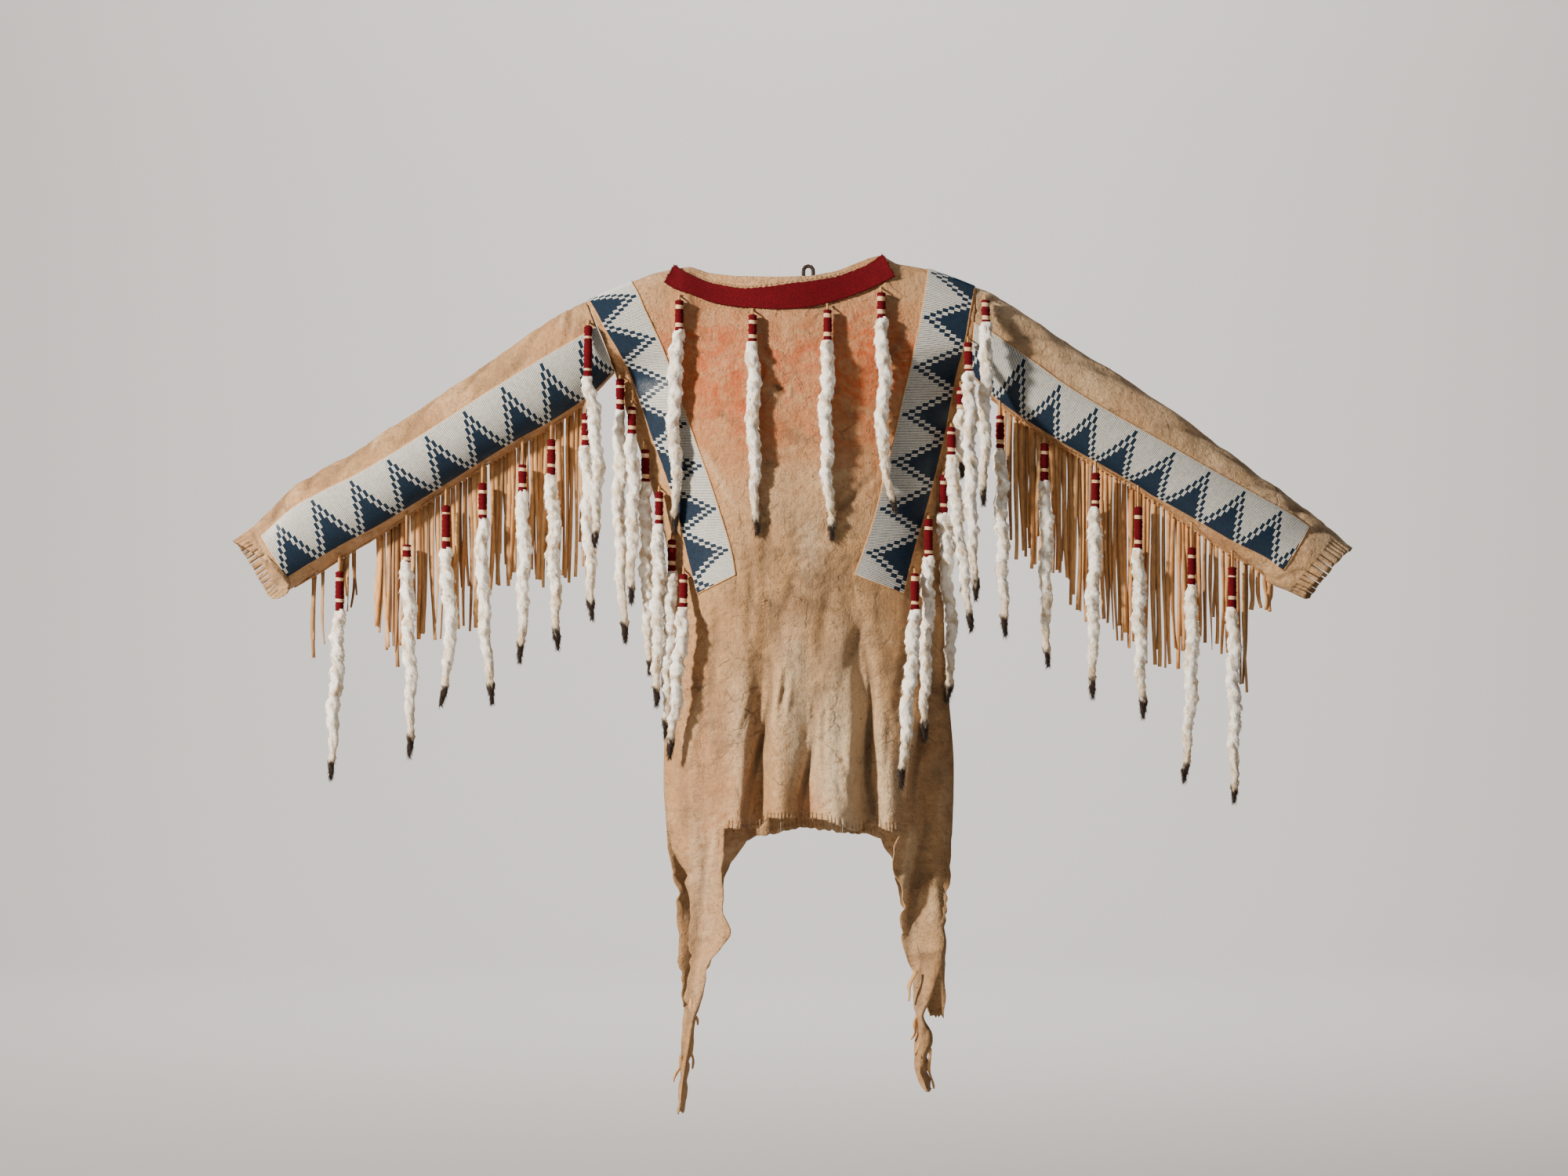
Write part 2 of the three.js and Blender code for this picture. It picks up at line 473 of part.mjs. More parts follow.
function hideGrid(side) {
  const outward = side === 'front' ? -1 : 1;
  const hem = side === 'front' ? FRONT_HEM : BACK_HEM;
  const tabs = side === 'front' ? FRONT_TABS : BACK_TABS;
  const lastRow = HIDE_ROWS.length - 1;
  const grid = HIDE_ROWS.map((row, r) => {
    const share = side === 'back' ? smooth((row.down - BACK_INNER_SHIFT.from) / BACK_INNER_SHIFT.over) : 0;
    const shift = { left: BACK_INNER_SHIFT.left * share, right: BACK_INNER_SHIFT.right * share };
    return hideColumns(row, shift).map((x, c) => {
      const level = r === lastRow ? read(hem, 'x', x, 'down') : row.down - (row.rise ?? 0) * riseShare(c);
      const depth = hideDepth(side, x, Math.min(level, row.down));
      return new THREE.Vector3(x, outward * depth, heightOf(x, level));
    });
  });
  const hemRow = grid[lastRow];
  const tabRows = Math.max(tabs.left.length, tabs.right.length);
  for (let t = 0; t < tabRows; t += 1) {
    grid.push(hemRow.map((point, c) => {
      const isLeft = c <= LEFT_INNER;
      const rows = isLeft ? tabs.left : tabs.right;
      const inTab = (isLeft || c >= RIGHT_INNER) && t < rows.length;
      if (!inTab) return point.clone();
      const row = rows[t];
      const [from, to] = isLeft ? [0, LEFT_INNER] : [RIGHT_INNER, LAST_COLUMN];
      const share = (point.x - hemRow[from].x) / (hemRow[to].x - hemRow[from].x);
      const settle = smooth((row.down - hem[0].down) / TAB_SETTLE);
      const curl = TAB_CURL * Math.sin(Math.PI * share + row.down / TAB_CURL_RATE) * settle;
      const depth = mix(Math.abs(point.y), TAB_REST_DEPTH, settle) + curl;
      return new THREE.Vector3(mix(row.left, row.right, share), outward * depth, -row.down);
    }));
  }
  return grid;
}

function hideCellPresent(side) {
  const tabs = side === 'front' ? FRONT_TABS : BACK_TABS;
  const lastRow = HIDE_ROWS.length - 1;
  return (r, c) => {
    if (r < lastRow) return true;
    const tabRow = r - lastRow;
    if (c < LEFT_INNER) return tabRow < tabs.left.length;
    return c >= RIGHT_INNER && tabRow < tabs.right.length;
  };
}

const GRIDS = { front: hideGrid('front'), back: hideGrid('back') };

// The back hide is laid out from right to left, as it is seen from behind
function hide(side) {
  const present = hideCellPresent(side);
  if (side === 'front') return wall(GRIDS.front, HIDE_THICKNESS, { present, facing: -1 });
  const grid = GRIDS.back.map((row) => [...row].reverse());
  const mirrored = (r, c) => present(r, LAST_COLUMN - 1 - c);
  return wall(grid, HIDE_THICKNESS, { present: mirrored, facing: -1 });
}

// A shoulder strip lies on both hides and runs over the shoulder without a break. Its rows go up the
// front and down the back, so its cells split as the cells of the hides do.
function shoulderStrip(firstColumn) {
  const take = (side, r) => GRIDS[side][r].slice(firstColumn, firstColumn + STRIP_CELLS + 1);
  const rows = [];
  for (let r = LAST_STRIP_ROW; r > 0; r -= 1) rows.push(take('front', r).reverse());
  rows.push(take('front', 0).reverse().map((point) => new THREE.Vector3(point.x, 0, point.z)));
  for (let r = 1; r <= LAST_STRIP_ROW; r += 1) rows.push(take('back', r).reverse());
  return wall(rows, BEAD_THICKNESS, { facing: -1, offset: SEAM_GAP + BEAD_THICKNESS });
}

// The neck band lies on the front hide below its cut edge
function neckBand() {
  const first = LEFT_INNER + BAND_COLUMNS[0];
  const last = LEFT_INNER + BAND_COLUMNS[1];
  const rows = GRIDS.front.slice(FIRST_BAND_ROW, LAST_BAND_ROW + 1).map((row) => row.slice(first, last + 1));
  return wall(rows, WOOL_THICKNESS, { facing: -1, offset: SEAM_GAP + WOOL_THICKNESS });
}

// The sleeves: each section is an oval with corners at the strip's edges
function sleeveAngles(section) {
  const angleAt = (share) => Math.acos(1 - 2 * share);
  const top = angleAt(section.stripTop);
  const foot = angleAt(section.stripFoot);
  const angles = [0, top / 2];
  for (let i = 0; i <= STRIP_CELLS; i += 1) angles.push(mix(top, foot, i / STRIP_CELLS));
  angles.push((foot + Math.PI) / 2);
  for (let i = 0; i < SLEEVE_BACK_CELLS; i += 1) {
    angles.push(mix(Math.PI, 2 * Math.PI, i / SLEEVE_BACK_CELLS));
  }
  return angles;
}

function cuffShift(angle) {
  const degrees = THREE.MathUtils.radToDeg(angle);
  if (degrees <= CUFF_CUT.deepest) return smooth(degrees / CUFF_CUT.deepest);
  return 1 - smooth((degrees - CUFF_CUT.deepest) / (CUFF_CUT.end - CUFF_CUT.deepest));
}

function sleeveGrid(sections, side) {
  const outward = side === 'left' ? -1 : 1;
  return sections.map((section, index) => {
    const isCuff = index === sections.length - 1;
    const middleX = (section.topX + section.footX) / 2;
    const middleZ = (section.topZ + section.footZ) / 2;
    const upX = (section.topX - section.footX) / 2;
    const upZ = (section.topZ - section.footZ) / 2;
    const size = Math.hypot(upX, upZ);
    const alongX = outward * Math.abs(upZ) / size;
    const alongZ = -Math.abs(upX) / size;
    const start = index === 0 ? SLEEVE_START_GAP : 0;
    return sleeveAngles(section).map((angle) => {
      const back = isCuff ? CUFF_CUTBACK[side] * cuffShift(angle) : 0;
      return new THREE.Vector3(
        middleX + upX * Math.cos(angle) + alongX * (start - back),
        -section.depth * Math.sin(angle),
        middleZ + upZ * Math.cos(angle) + alongZ * (start - back),
      );
    });
  });
}

const SLEEVES = {
  left: { sections: LEFT_SLEEVE, grid: sleeveGrid(LEFT_SLEEVE, 'left'), facing: -1 },
  right: { sections: RIGHT_SLEEVE, grid: sleeveGrid(RIGHT_SLEEVE, 'right'), facing: 1 },
};
const STRIP_ANGLES = [2, 2 + STRIP_CELLS];

function sleeve(side) {
  const { grid, facing } = SLEEVES[side];
  return wall(grid, SLEEVE_THICKNESS, { facing, closed: true });
}

function sleeveStrip(side) {
  const { grid, facing } = SLEEVES[side];
  const rows = grid.slice(0, LAST_SLEEVE_STRIP_SECTION + 1)
    .map((ring) => ring.slice(STRIP_ANGLES[0], STRIP_ANGLES[1] + 1));
  return wall(rows, BEAD_THICKNESS, { facing, offset: SEAM_GAP + BEAD_THICKNESS });
}

// Sleeve seam, the foot of each section, as a line in the front view
function seamPoint(side, x) {
  const sections = SLEEVES[side].sections;
  return { x, z: read(sections, 'footX', x, 'footZ') };
}

function fringe(side, runs) {
  const sections = SLEEVES[side].sections.slice(1, FRINGE_SECTION_REACH + 1);
  const half = FRINGE.backingDepth / 2;
  const gap = SEAM_GAP + FRINGE.extraGap;
  const backing = tube(sections.map((section) => [
    new THREE.Vector3(section.footX, -half, section.footZ - gap),
    new THREE.Vector3(section.footX, half, section.footZ - gap),
    new THREE.Vector3(section.footX, half, section.footZ - gap - FRINGE.backingHeight),
    new THREE.Vector3(section.footX, -half, section.footZ - gap - FRINGE.backingHeight),
  ]).map((ring) => (side === 'left' ? ring : [...ring].reverse())));
  const strands = [];
  let number = 0;
  for (const run of runs) {
    for (let i = 0; i < run.count; i += 1) {
      const share = run.count > 1 ? i / (run.count - 1) : 0;
      const length = mix(run.lengthFrom, run.lengthTo, share);
      strands.push(strand(side, mix(run.from, run.to, share), length, number));
      number += 1;
    }
  }
  return joined([backing, ...strands]);
}

// One strand: a flat thong of hide that wanders a little as it hangs
function strand(side, x, length, number) {
  const seam = seamPoint(side, x);
  const start = seam.z - SEAM_GAP - FRINGE.backingHeight + FRINGE.root;
  const turn = number * STRAND.turn;
  const width = STRAND.width + STRAND.widthWander * Math.sin(number * STRAND.widthRate);
  const reach = length * (STRAND.shortest + STRAND.lengthWander * Math.sin(number * STRAND.lengthRate));
  const thin = FRINGE.strandDepth / 2;
  const rings = FRINGE.levels.map((level) => {
    const sway = level * STRAND.sway * Math.sin(turn + level * STRAND.swayRate);
    const half = (width / 2) * (1 - STRAND.taper * level);
    const y = STRAND.lean * level * Math.cos(turn);
    const z = start - reach * level;
    return [
      new THREE.Vector3(x + sway - half, y - thin, z), new THREE.Vector3(x + sway - half, y + thin, z),
      new THREE.Vector3(x + sway + half, y + thin, z), new THREE.Vector3(x + sway + half, y - thin, z),
    ];
  });
  return tube(rings);
}

// The nearest face of the garment at a point of the front view, or null beside it
let carrierFaces = [];

function setCarriers(geometries) {
  carrierFaces = geometries.flatMap((geometry) => {
    const position = geometry.attributes.position;
    const index = geometry.index.array;
    const faces = [];
    for (let i = 0; i < index.length; i += 3) {
      faces.push([0, 1, 2].map((k) => new THREE.Vector3().fromBufferAttribute(position, index[i + k])));
    }
    return faces;
  });
}

function frontOf(x, z) {
  let front = null;
  for (const [a, b, c] of carrierFaces) {
    const area = (b.x - a.x) * (c.z - a.z) - (c.x - a.x) * (b.z - a.z);
    if (Math.abs(area) < FLAT_AREA) continue;
    const v = ((x - a.x) * (c.z - a.z) - (c.x - a.x) * (z - a.z)) / area;
    const w = ((b.x - a.x) * (z - a.z) - (x - a.x) * (b.z - a.z)) / area;
    if (v < 0 || w < 0 || v + w > 1) continue;
    const y = a.y + v * (b.y - a.y) + w * (c.y - a.y);
    if (front === null || y < front) front = y;
  }
  return front;
}

// One ermine drop: thong, wool wrap, twisted fur and tail in one soft solid
function drop(spec) {
  const side = spec.x < 0 ? 'left' : 'right';
  const headZ = spec.onSeam ? seamPoint(side, spec.x).z + DROP.seamInset
    : spec.head ?? spec.wrapTop + DROP.headAboveWrap;
  const headCorners = circle(0, 0, 0, DROP.thongRadius, DROP.sides).filter((corner) => corner.y > 0);
  const seats = headCorners.flatMap((corner) => [0, -DROP.headLength / 2, -DROP.headLength].map((dz) => (
    (frontOf(spec.x + corner.x, headZ + dz) ?? 0) - corner.y)));
  const hangY = Math.min(...seats) - DROP.seatGap;
  const furLength = spec.wrapFoot - spec.tip;
  const stations = [
    { z: headZ, radius: DROP.thongRadius, bend: 0, isHead: true },
    { z: headZ - DROP.headLength, radius: DROP.thongRadius, bend: 0, isHead: true },
    { z: spec.wrapTop - DROP.wrapEase, radius: DROP.wrapRadius, bend: 0 },
    { z: spec.wrapFoot, radius: DROP.wrapRadius, bend: 0 },
    ...FUR_ROWS.map((row) => ({
      z: spec.wrapFoot - furLength * row.at, radius: row.radius, bend: bendAt(spec.bend, row.at),
    })),
  ];
  const step = (spec.layer ?? 0) * DROP.layerStep;
  const rings = stations.map((station) => {
    const x = spec.x + station.bend;
    const hung = (spec.wrapTop - station.z) / (spec.wrapTop - spec.wrapFoot + DROP.layerEase);
    const layered = step * smooth(hung);
    let y = hangY;
    if (!station.isHead) {
      const reach = station.radius + DROP.sideReach;
      for (const dx of [-reach, 0, reach]) {
        for (const dz of [-DROP.levelReach, 0, DROP.levelReach]) {
          const front = frontOf(x + dx, Math.min(headZ, station.z + dz));
          if (front !== null) y = Math.min(y, front - station.radius - DROP.clearance);
        }
      }
      y -= layered;
    }
    return circle(x, y, station.z, station.radius, DROP.sides);
  });
  return tube(rings);
}

function bendAt(bend, at) {
  const [third, twoThirds, whole] = bend;
  const rows = [{ at: 0, x: 0 }, { at: 1 / 3, x: third }, { at: 2 / 3, x: twoThirds }, { at: 1, x: whole }];
  return read(rows, 'at', at, 'x');
}

// A level ring of points, one of them facing the hide, ordered so that a tube goes down outwards
function circle(x, y, z, radius, sides) {
  return Array.from({ length: sides }, (_, i) => {
    const angle = Math.PI / 2 - 2 * Math.PI * i / sides;
    return new THREE.Vector3(x + radius * Math.cos(angle), y + radius * Math.sin(angle), z);
  });
}

// The hanger
function roundShape(radius, sides) {
  const shape = new THREE.Shape();
  for (let i = 0; i < sides; i += 1) {
    const angle = 2 * Math.PI * (i + 0.5) / sides;
    const point = [radius * Math.cos(angle), radius * Math.sin(angle)];
    if (i === 0) shape.moveTo(...point);
    else shape.lineTo(...point);
  }
  shape.closePath();
  return shape;
}

function sweep(curve, radius, sides, steps) {
  const settings = { extrudePath: curve, steps, bevelEnabled: false };
  return new THREE.ExtrudeGeometry(roundShape(radius, sides), settings);
}

function hanger() {
  const rodLine = new THREE.CatmullRomCurve3(ROD_LINE.map(({ x, z }) => new THREE.Vector3(x, 0, z)), false,
    'centripetal');
  const rod = sweep(rodLine, ROD_RADIUS, ROD_SIDES, ROD_STEPS);
  const arcMiddle = LOOP.wireRadius - LOOP.halfWidth;
  const points = [];
  for (let i = 0; i < LOOP.legPoints; i += 1) {
    points.push(new THREE.Vector3(-LOOP.halfWidth, 0, mix(LOOP.foot, arcMiddle, i / LOOP.legPoints)));
  }
  for (let i = 0; i <= LOOP.arcPoints; i += 1) {
    const angle = Math.PI * (1 - i / LOOP.arcPoints);
    const rise = LOOP.halfWidth * Math.sin(angle);
    points.push(new THREE.Vector3(LOOP.halfWidth * Math.cos(angle), 0, arcMiddle + rise));
  }
  for (let i = 1; i <= LOOP.legPoints; i += 1) {
    points.push(new THREE.Vector3(LOOP.halfWidth, 0, mix(arcMiddle, LOOP.foot, i / LOOP.legPoints)));
  }
  const loop = sweep(new THREE.CatmullRomCurve3(points), LOOP.wireRadius, LOOP.sides, LOOP.steps);
  return joined([rod, loop]);
}

// The finished shirt
const HIDE = { color: 0xc9a57a, roughness: 0.85, metalness: 0 };
const THONG = { color: 0xb98b58, roughness: 0.85, metalness: 0 };
const BEADS = { color: 0x8f9bab, roughness: 0.35, metalness: 0 };
const WOOL = { color: 0x8f1420, roughness: 0.95, metalness: 0 };
const FUR = { color: 0xe6dfcf, roughness: 0.95, metalness: 0 };
const STEEL = { color: 0x2c211c, roughness: 0.5, metalness: 0.7 };

const shirt = new THREE.Group();
const add = (name, geometry, finish) => {
  const mesh = new THREE.Mesh(geometry, new THREE.MeshStandardMaterial(finish));
  mesh.name = name;
  shirt.add(mesh);
};

const garment = [
  ['hide_front', hide('front'), HIDE],
  ['hide_back', hide('back'), HIDE],
  ['sleeve_left', sleeve('left'), HIDE],
  ['sleeve_right', sleeve('right'), HIDE],
  ['neck_band', neckBand(), WOOL],
  ['shoulder_strip_left', shoulderStrip(1), BEADS],
  ['shoulder_strip_right', shoulderStrip(RIGHT_INNER), BEADS],
  ['sleeve_strip_left', sleeveStrip('left'), BEADS],
  ['sleeve_strip_right', sleeveStrip('right'), BEADS],
];
setCarriers(garment.map(([, geometry]) => geometry));
for (const [name, geometry, finish] of garment) add(name, geometry, finish);
add('sleeve_fringe_left', fringe('left', LEFT_FRINGE), THONG);
add('sleeve_fringe_right', fringe('right', RIGHT_FRINGE), THONG);
add('hanger', hanger(), STEEL);
for (const spec of DROPS) add(`drop_${spec.name}`, drop(spec), FUR);

export default shirt;
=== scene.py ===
# A Plains war shirt of tanned hide on a hanger: the finish of every piece, as a Blender add-on that
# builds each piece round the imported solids. Tables are in millimetres, the scene is in metres.
import json
import math
import random

import bpy
import numpy as np
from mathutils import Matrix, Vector

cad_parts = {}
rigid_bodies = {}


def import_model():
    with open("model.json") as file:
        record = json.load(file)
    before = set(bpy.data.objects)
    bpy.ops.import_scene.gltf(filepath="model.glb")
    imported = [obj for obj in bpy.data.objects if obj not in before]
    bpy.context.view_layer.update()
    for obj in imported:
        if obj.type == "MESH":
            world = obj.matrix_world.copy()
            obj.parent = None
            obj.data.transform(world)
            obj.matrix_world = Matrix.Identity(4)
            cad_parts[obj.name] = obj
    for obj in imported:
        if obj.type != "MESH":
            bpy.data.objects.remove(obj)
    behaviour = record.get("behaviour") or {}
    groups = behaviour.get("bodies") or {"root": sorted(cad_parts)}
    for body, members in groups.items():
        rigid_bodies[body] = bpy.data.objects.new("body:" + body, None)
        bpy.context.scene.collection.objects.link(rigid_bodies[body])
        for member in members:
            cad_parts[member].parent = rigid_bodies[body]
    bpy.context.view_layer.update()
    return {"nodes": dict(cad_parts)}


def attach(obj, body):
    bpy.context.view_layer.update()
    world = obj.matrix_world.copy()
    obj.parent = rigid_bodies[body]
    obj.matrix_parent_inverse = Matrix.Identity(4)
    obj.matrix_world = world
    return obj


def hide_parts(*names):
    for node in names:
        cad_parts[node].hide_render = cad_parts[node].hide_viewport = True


bl_info = {
    "name": "Plains War Shirt",
    "version": (1, 0, 0),
    "blender": (4, 5, 0),
    "location": "View3D > Sidebar > War Shirt",
    "description": "Builds a beaded and fringed hide shirt on its hanger, piece by piece",
    "category": "Object",
}

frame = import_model()
BODY = "root"
MM = 0.001

# Photo frame: its width in pixels and what a pixel measures on the shirt
PHOTO_WIDTH = 2000
PIXEL_MM = 1.12
CAMERA_DISTANCE = 6.0
SENSOR_MM = 36.0

# The hides, level by level: the side edges, the edges of both shoulder strips, how far the middle
# bulges from the middle plane, how far the side edges stand off it and how the row rises inwards
HIDE_COLUMNS = ("down", "left", "outer_l", "inner_l", "inner_r", "outer_r", "right", "bulge", "side", "rise")
HIDE_ROWS = (
    (0, -317, -314, -252, 171, 237, 240, 0.85, 0, 0),
    (3, -316, -313, -251, 171, 237, 240, 8, 0, 0),
    (9, -314, -310, -249, 170, 236, 239, 17, 0, 0),
    (20, -311, -306, -244, 168, 234, 239, 28, 0, 0),
    (34, -308, -301, -239, 166, 232, 238, 36, 0, 0),
    (52, -303, -295, -233, 163, 229, 237, 43, 0, 0),
    (82, -294, -284, -221, 158, 225, 235, 51, 0, 0),
    (115, -285, -269, -207, 151, 219, 232, 57, 0, 0),
    (150, -276, -254, -194, 143, 211, 230, 62, 2.4, 0),
    (190, -265, -240, -181, 133, 203, 217, 67, 5, 0),
    (240, -247, -223, -163, 122, 193, 209, 72, 8, 0),
    (295, -229, -203, -143, 108, 180, 202, 76, 11, 0),
    (350, -213, -185, -125, 95, 165, 197, 79, 13, 0),
    (408, -200, -172, -110, 79, 148, 194, 82, 15, 8),
    (465, -196, -157, -103, 65, 134, 193, 84, 16, 27),
    (525, -197, -161, -106, 82, 143, 194, 86, 17, 16),
    (585, -200, -166, -110, 96, 151, 197, 88, 18, 6),
    (645, -204, -169, -113, 108, 157, 203, 90, 18, 0),
    (700, -206, -171, -115, 116, 161, 207, 92, 18, 0),
    (748, -206, -172, -117, 123, 164, 207, 93, 18, 0),
    (795, -202, -172, -119, 128, 166, 205, 94, 18, 0),
)
TOP_LINE = (
    (-317, -48), (-290, -36), (-252, -20), (-222, -8), (-190, -1), (-168, 2), (-141, -8), (-104, -13),
    (-44, -15), (4, -13.5), (41, -5.6), (65, 4.5), (90, 15), (105, 18), (126, 6), (150, 2), (171, -2),
    (205, -14), (240, -28),
)
NECK_LEFT, NECK_RIGHT = -168, 105
NECK_DEPTH = {"front": 36, "back": 22}
ARMHOLE_DROP = 150
ARMHOLE_HALF_DEPTH = 40
SHOULDER_STAND_OFF = 0.85
UNDERARM_STAND_OFF = 2.4
FULL_BULGE = 90
EDGE_SHARPNESS = 3
UPRIGHT_SLOPE = 0.42
STRIP_END = 465

# Folds that open towards the hem: x at the hem, x at the top, how far down they start, half width
# and depth, negative for a ridge
FOLDS = {
    "front": (
        (-74, -60, 430, 15, 28), (-100, -90, 470, 17, -14), (-42, -35, 470, 16, -12),
        (-3, 0, 500, 13, 22), (38, 30, 470, 20, -15), (86, 62, 400, 17, 34), (118, 95, 470, 14, -8),
        (163, 160, 480, 12, 22), (-150, -150, 470, 13, 14),
    ),
    "back": (
        (-128, -110, 430, 16, 24), (-88, -80, 470, 18, -12), (-40, -30, 400, 17, 30),
        (4, 4, 470, 20, -14), (52, 40, 450, 15, 24), (96, 85, 480, 16, -10), (140, 130, 430, 15, 20),
    ),
}
FOLD_FULL_LENGTH = 380
HEM = {
    "front": ((-119, 796), (-70, 797), (-58, 781), (20, 782), (70, 803), (84, 790), (128, 806)),
    "back": ((-119, 830), (-80, 822), (-20, 806), (60, 812), (128, 824)),
}

# The leg tabs: how far down, left edge and right edge
TABS = {
    ("front", "left"): (
        (832, -192, -120), (862, -178, -122), (905, -169, -121), (941, -169, -112), (968, -170, -124),
        (998, -172, -142), (1032, -176, -148), (1068, -179, -160), (1110, -182, -164),
        (1158, -185, -171), (1204, -186, -177),
    ),
    ("front", "right"): (
        (845, 113, 199), (885, 133, 195), (925, 131, 192), (960, 133, 190), (990, 141, 188),
        (1018, 149, 180), (1060, 149, 167), (1100, 151, 176), (1140, 147, 174), (1172, 165, 177),
    ),
    ("back", "left"): (
        (858, -196, -112), (900, -189, -126), (960, -187, -132), (1015, -185, -146), (1060, -181, -163),
    ),
    ("back", "right"): (
        (862, 122, 204), (910, 134, 201), (970, 144, 198), (1025, 156, 196), (1076, 176, 195),
    ),
}
TAB_REST_DEPTH = 34
TAB_SETTLE = 170
TAB_CURL, TAB_TWIST = 12, 90

# Sleeve sections: top x and z, foot x and z, half depth, where the strip starts and ends
SLEEVE_SECTIONS = {
    "left": (
        (-317, -48, -276, -150, 40, 0.31, 0.9), (-348, -63, -309, -184, 43, 0.29, 0.9),
        (-393, -90, -362, -222, 45, 0.27, 0.89), (-460, -137, -427, -260, 45, 0.25, 0.88),
        (-527, -183, -488, -298, 44, 0.24, 0.88), (-594, -228, -550, -338, 43, 0.23, 0.87),
        (-653, -266, -608, -378, 42, 0.2, 0.84), (-704, -293, -655, -406, 41, 0.18, 0.82),
        (-745, -321, -697, -433, 40, 0.15, 0.8), (-788, -366, -734, -455, 40, 0.13, 0.79),
        (-822, -390, -769, -480, 41, 0.13, 0.79),
    ),
    "right": (
        (240, -28, 230, -150, 40, 0.36, 0.92), (268, -40, 261, -185, 44, 0.33, 0.91),
        (330, -80, 302, -216, 46, 0.34, 0.9), (384, -116, 352, -248, 46, 0.36, 0.9),
        (447, -155, 408, -280, 45, 0.36, 0.91), (525, -208, 469, -315, 44, 0.32, 0.91),
        (581, -249, 531, -358, 43, 0.26, 0.85), (635, -289, 592, -401, 42, 0.19, 0.8),
        (690, -329, 643, -431, 41, 0.13, 0.76), (722, -354, 663, -452, 40, 0.1, 0.72),
        (777, -400, 716, -477, 41, 0.1, 0.72),
    ),
}
LAST_STRIP_SECTION = 9
# How far a cuff is cut back, where round the sleeve it is cut back most, in how many degrees it ends
CUFF_CUTBACK = {"left": 40, "right": 14}
DEEPEST_CUT, CUT_FADE = 130, 100

# Fringe runs: from x to x, length at both ends, strands
FRINGE_RUNS = {
    "left": (
        (-706, -694, 132, 110, 2), (-668, -648, 78, 92, 3), (-612, -588, 150, 205, 5),
        (-578, -545, 205, 210, 6), (-536, -500, 205, 222, 6), (-490, -462, 232, 214, 5),
        (-452, -402, 190, 200, 9), (-394, -352, 216, 240, 8), (-344, -318, 246, 268, 5),
    ),
    "right": (
        (274, 296, 190, 204, 4), (304, 334, 200, 206, 6), (342, 366, 194, 212, 5),
        (374, 404, 226, 236, 6), (412, 452, 228, 246, 7), (460, 500, 236, 240, 7),
        (508, 548, 232, 200, 7), (558, 600, 166, 150, 6), (606, 622, 200, 196, 3),
        (634, 660, 66, 46, 4),
    ),
}

# Ochre rubbed into the chest; soil of handling, with painted shade on the left flank and down the fold
# valleys;
# pale worn places, with painted highlights along the fold ridges. Soft patches on the hides:
# x, down, half width, half height, strength
OCHRE = (
    (-130, 148, 62, 62, 0.85), (-60, 120, 80, 44, 0.4), (30, 110, 60, 52, 0.35), (82, 120, 48, 66, 0.85),
    (130, 132, 40, 50, 0.8), (-175, 120, 50, 70, 0.6), (-90, 200, 70, 60, 0.35), (40, 210, 70, 60, 0.35),
    (-35, 130, 230, 110, 0.28), (-120, 280, 60, 80, 0.3), (90, 270, 50, 80, 0.3), (-20, 250, 90, 60, 0.2),
    (-105, 770, 40, 60, 0.25), (0, 770, 16, 40, 0.35), (150, 700, 30, 90, 0.15), (-150, 660, 40, 150, 0.26),
    (-160, 920, 40, 150, 0.13),
)
SOIL_AND_SHADE = (
    (-20, 440, 90, 60, 0.9), (40, 520, 70, 70, 0.6), (-60, 560, 60, 60, 0.55), (60, 420, 60, 50, 0.6),
    (-10, 360, 60, 50, 0.35), (95, 600, 60, 90, 0.4), (-110, 520, 40, 60, 0.35), (150, 900, 60, 200, 0.5),
    (150, 620, 40, 120, 0.45), (0, 700, 120, 60, 0.25), (-215, 20, 40, 30, 0.35), (140, 20, 30, 30, 0.3),
    (-160, 640, 50, 130, 0.35), (-20, 300, 120, 50, 0.3), (-70, 440, 30, 90, 0.45), (20, 600, 30, 100, 0.3),
    (-180, 1000, 40, 120, 0.4), (160, 1100, 40, 100, 0.5), (84, 780, 14, 30, 0.7),
    # Painted shade: the left flank and narrow dark lines down the fold valleys of the lower front
    (-142, 690, 40, 130, 0.75), (-62, 660, 10, 100, 0.4), (16, 700, 8, 70, 0.35), (128, 650, 18, 110, 0.4),
)
PALE_AND_HIGHLIGHT = (
    # Most of these are painted highlights: narrow pale lines along the fold ridges of the lower front,
    # brightest on the ridge right of the middle
    (0, 690, 30, 70, 0.5), (-96, 700, 16, 120, 0.6), (54, 690, 32, 130, 1.4), (-20, 560, 24, 50, 0.5),
    (-22, 640, 22, 90, 0.6), (0, 400, 18, 50, 0.6), (104, 720, 16, 90, 0.6),
    (-50, 330, 60, 40, 0.3), (30, 300, 40, 40, 0.2), (-158, 820, 12, 100, 0.4), (-145, 900, 22, 120, 0.5),
    (120, 730, 14, 60, 0.5),
)
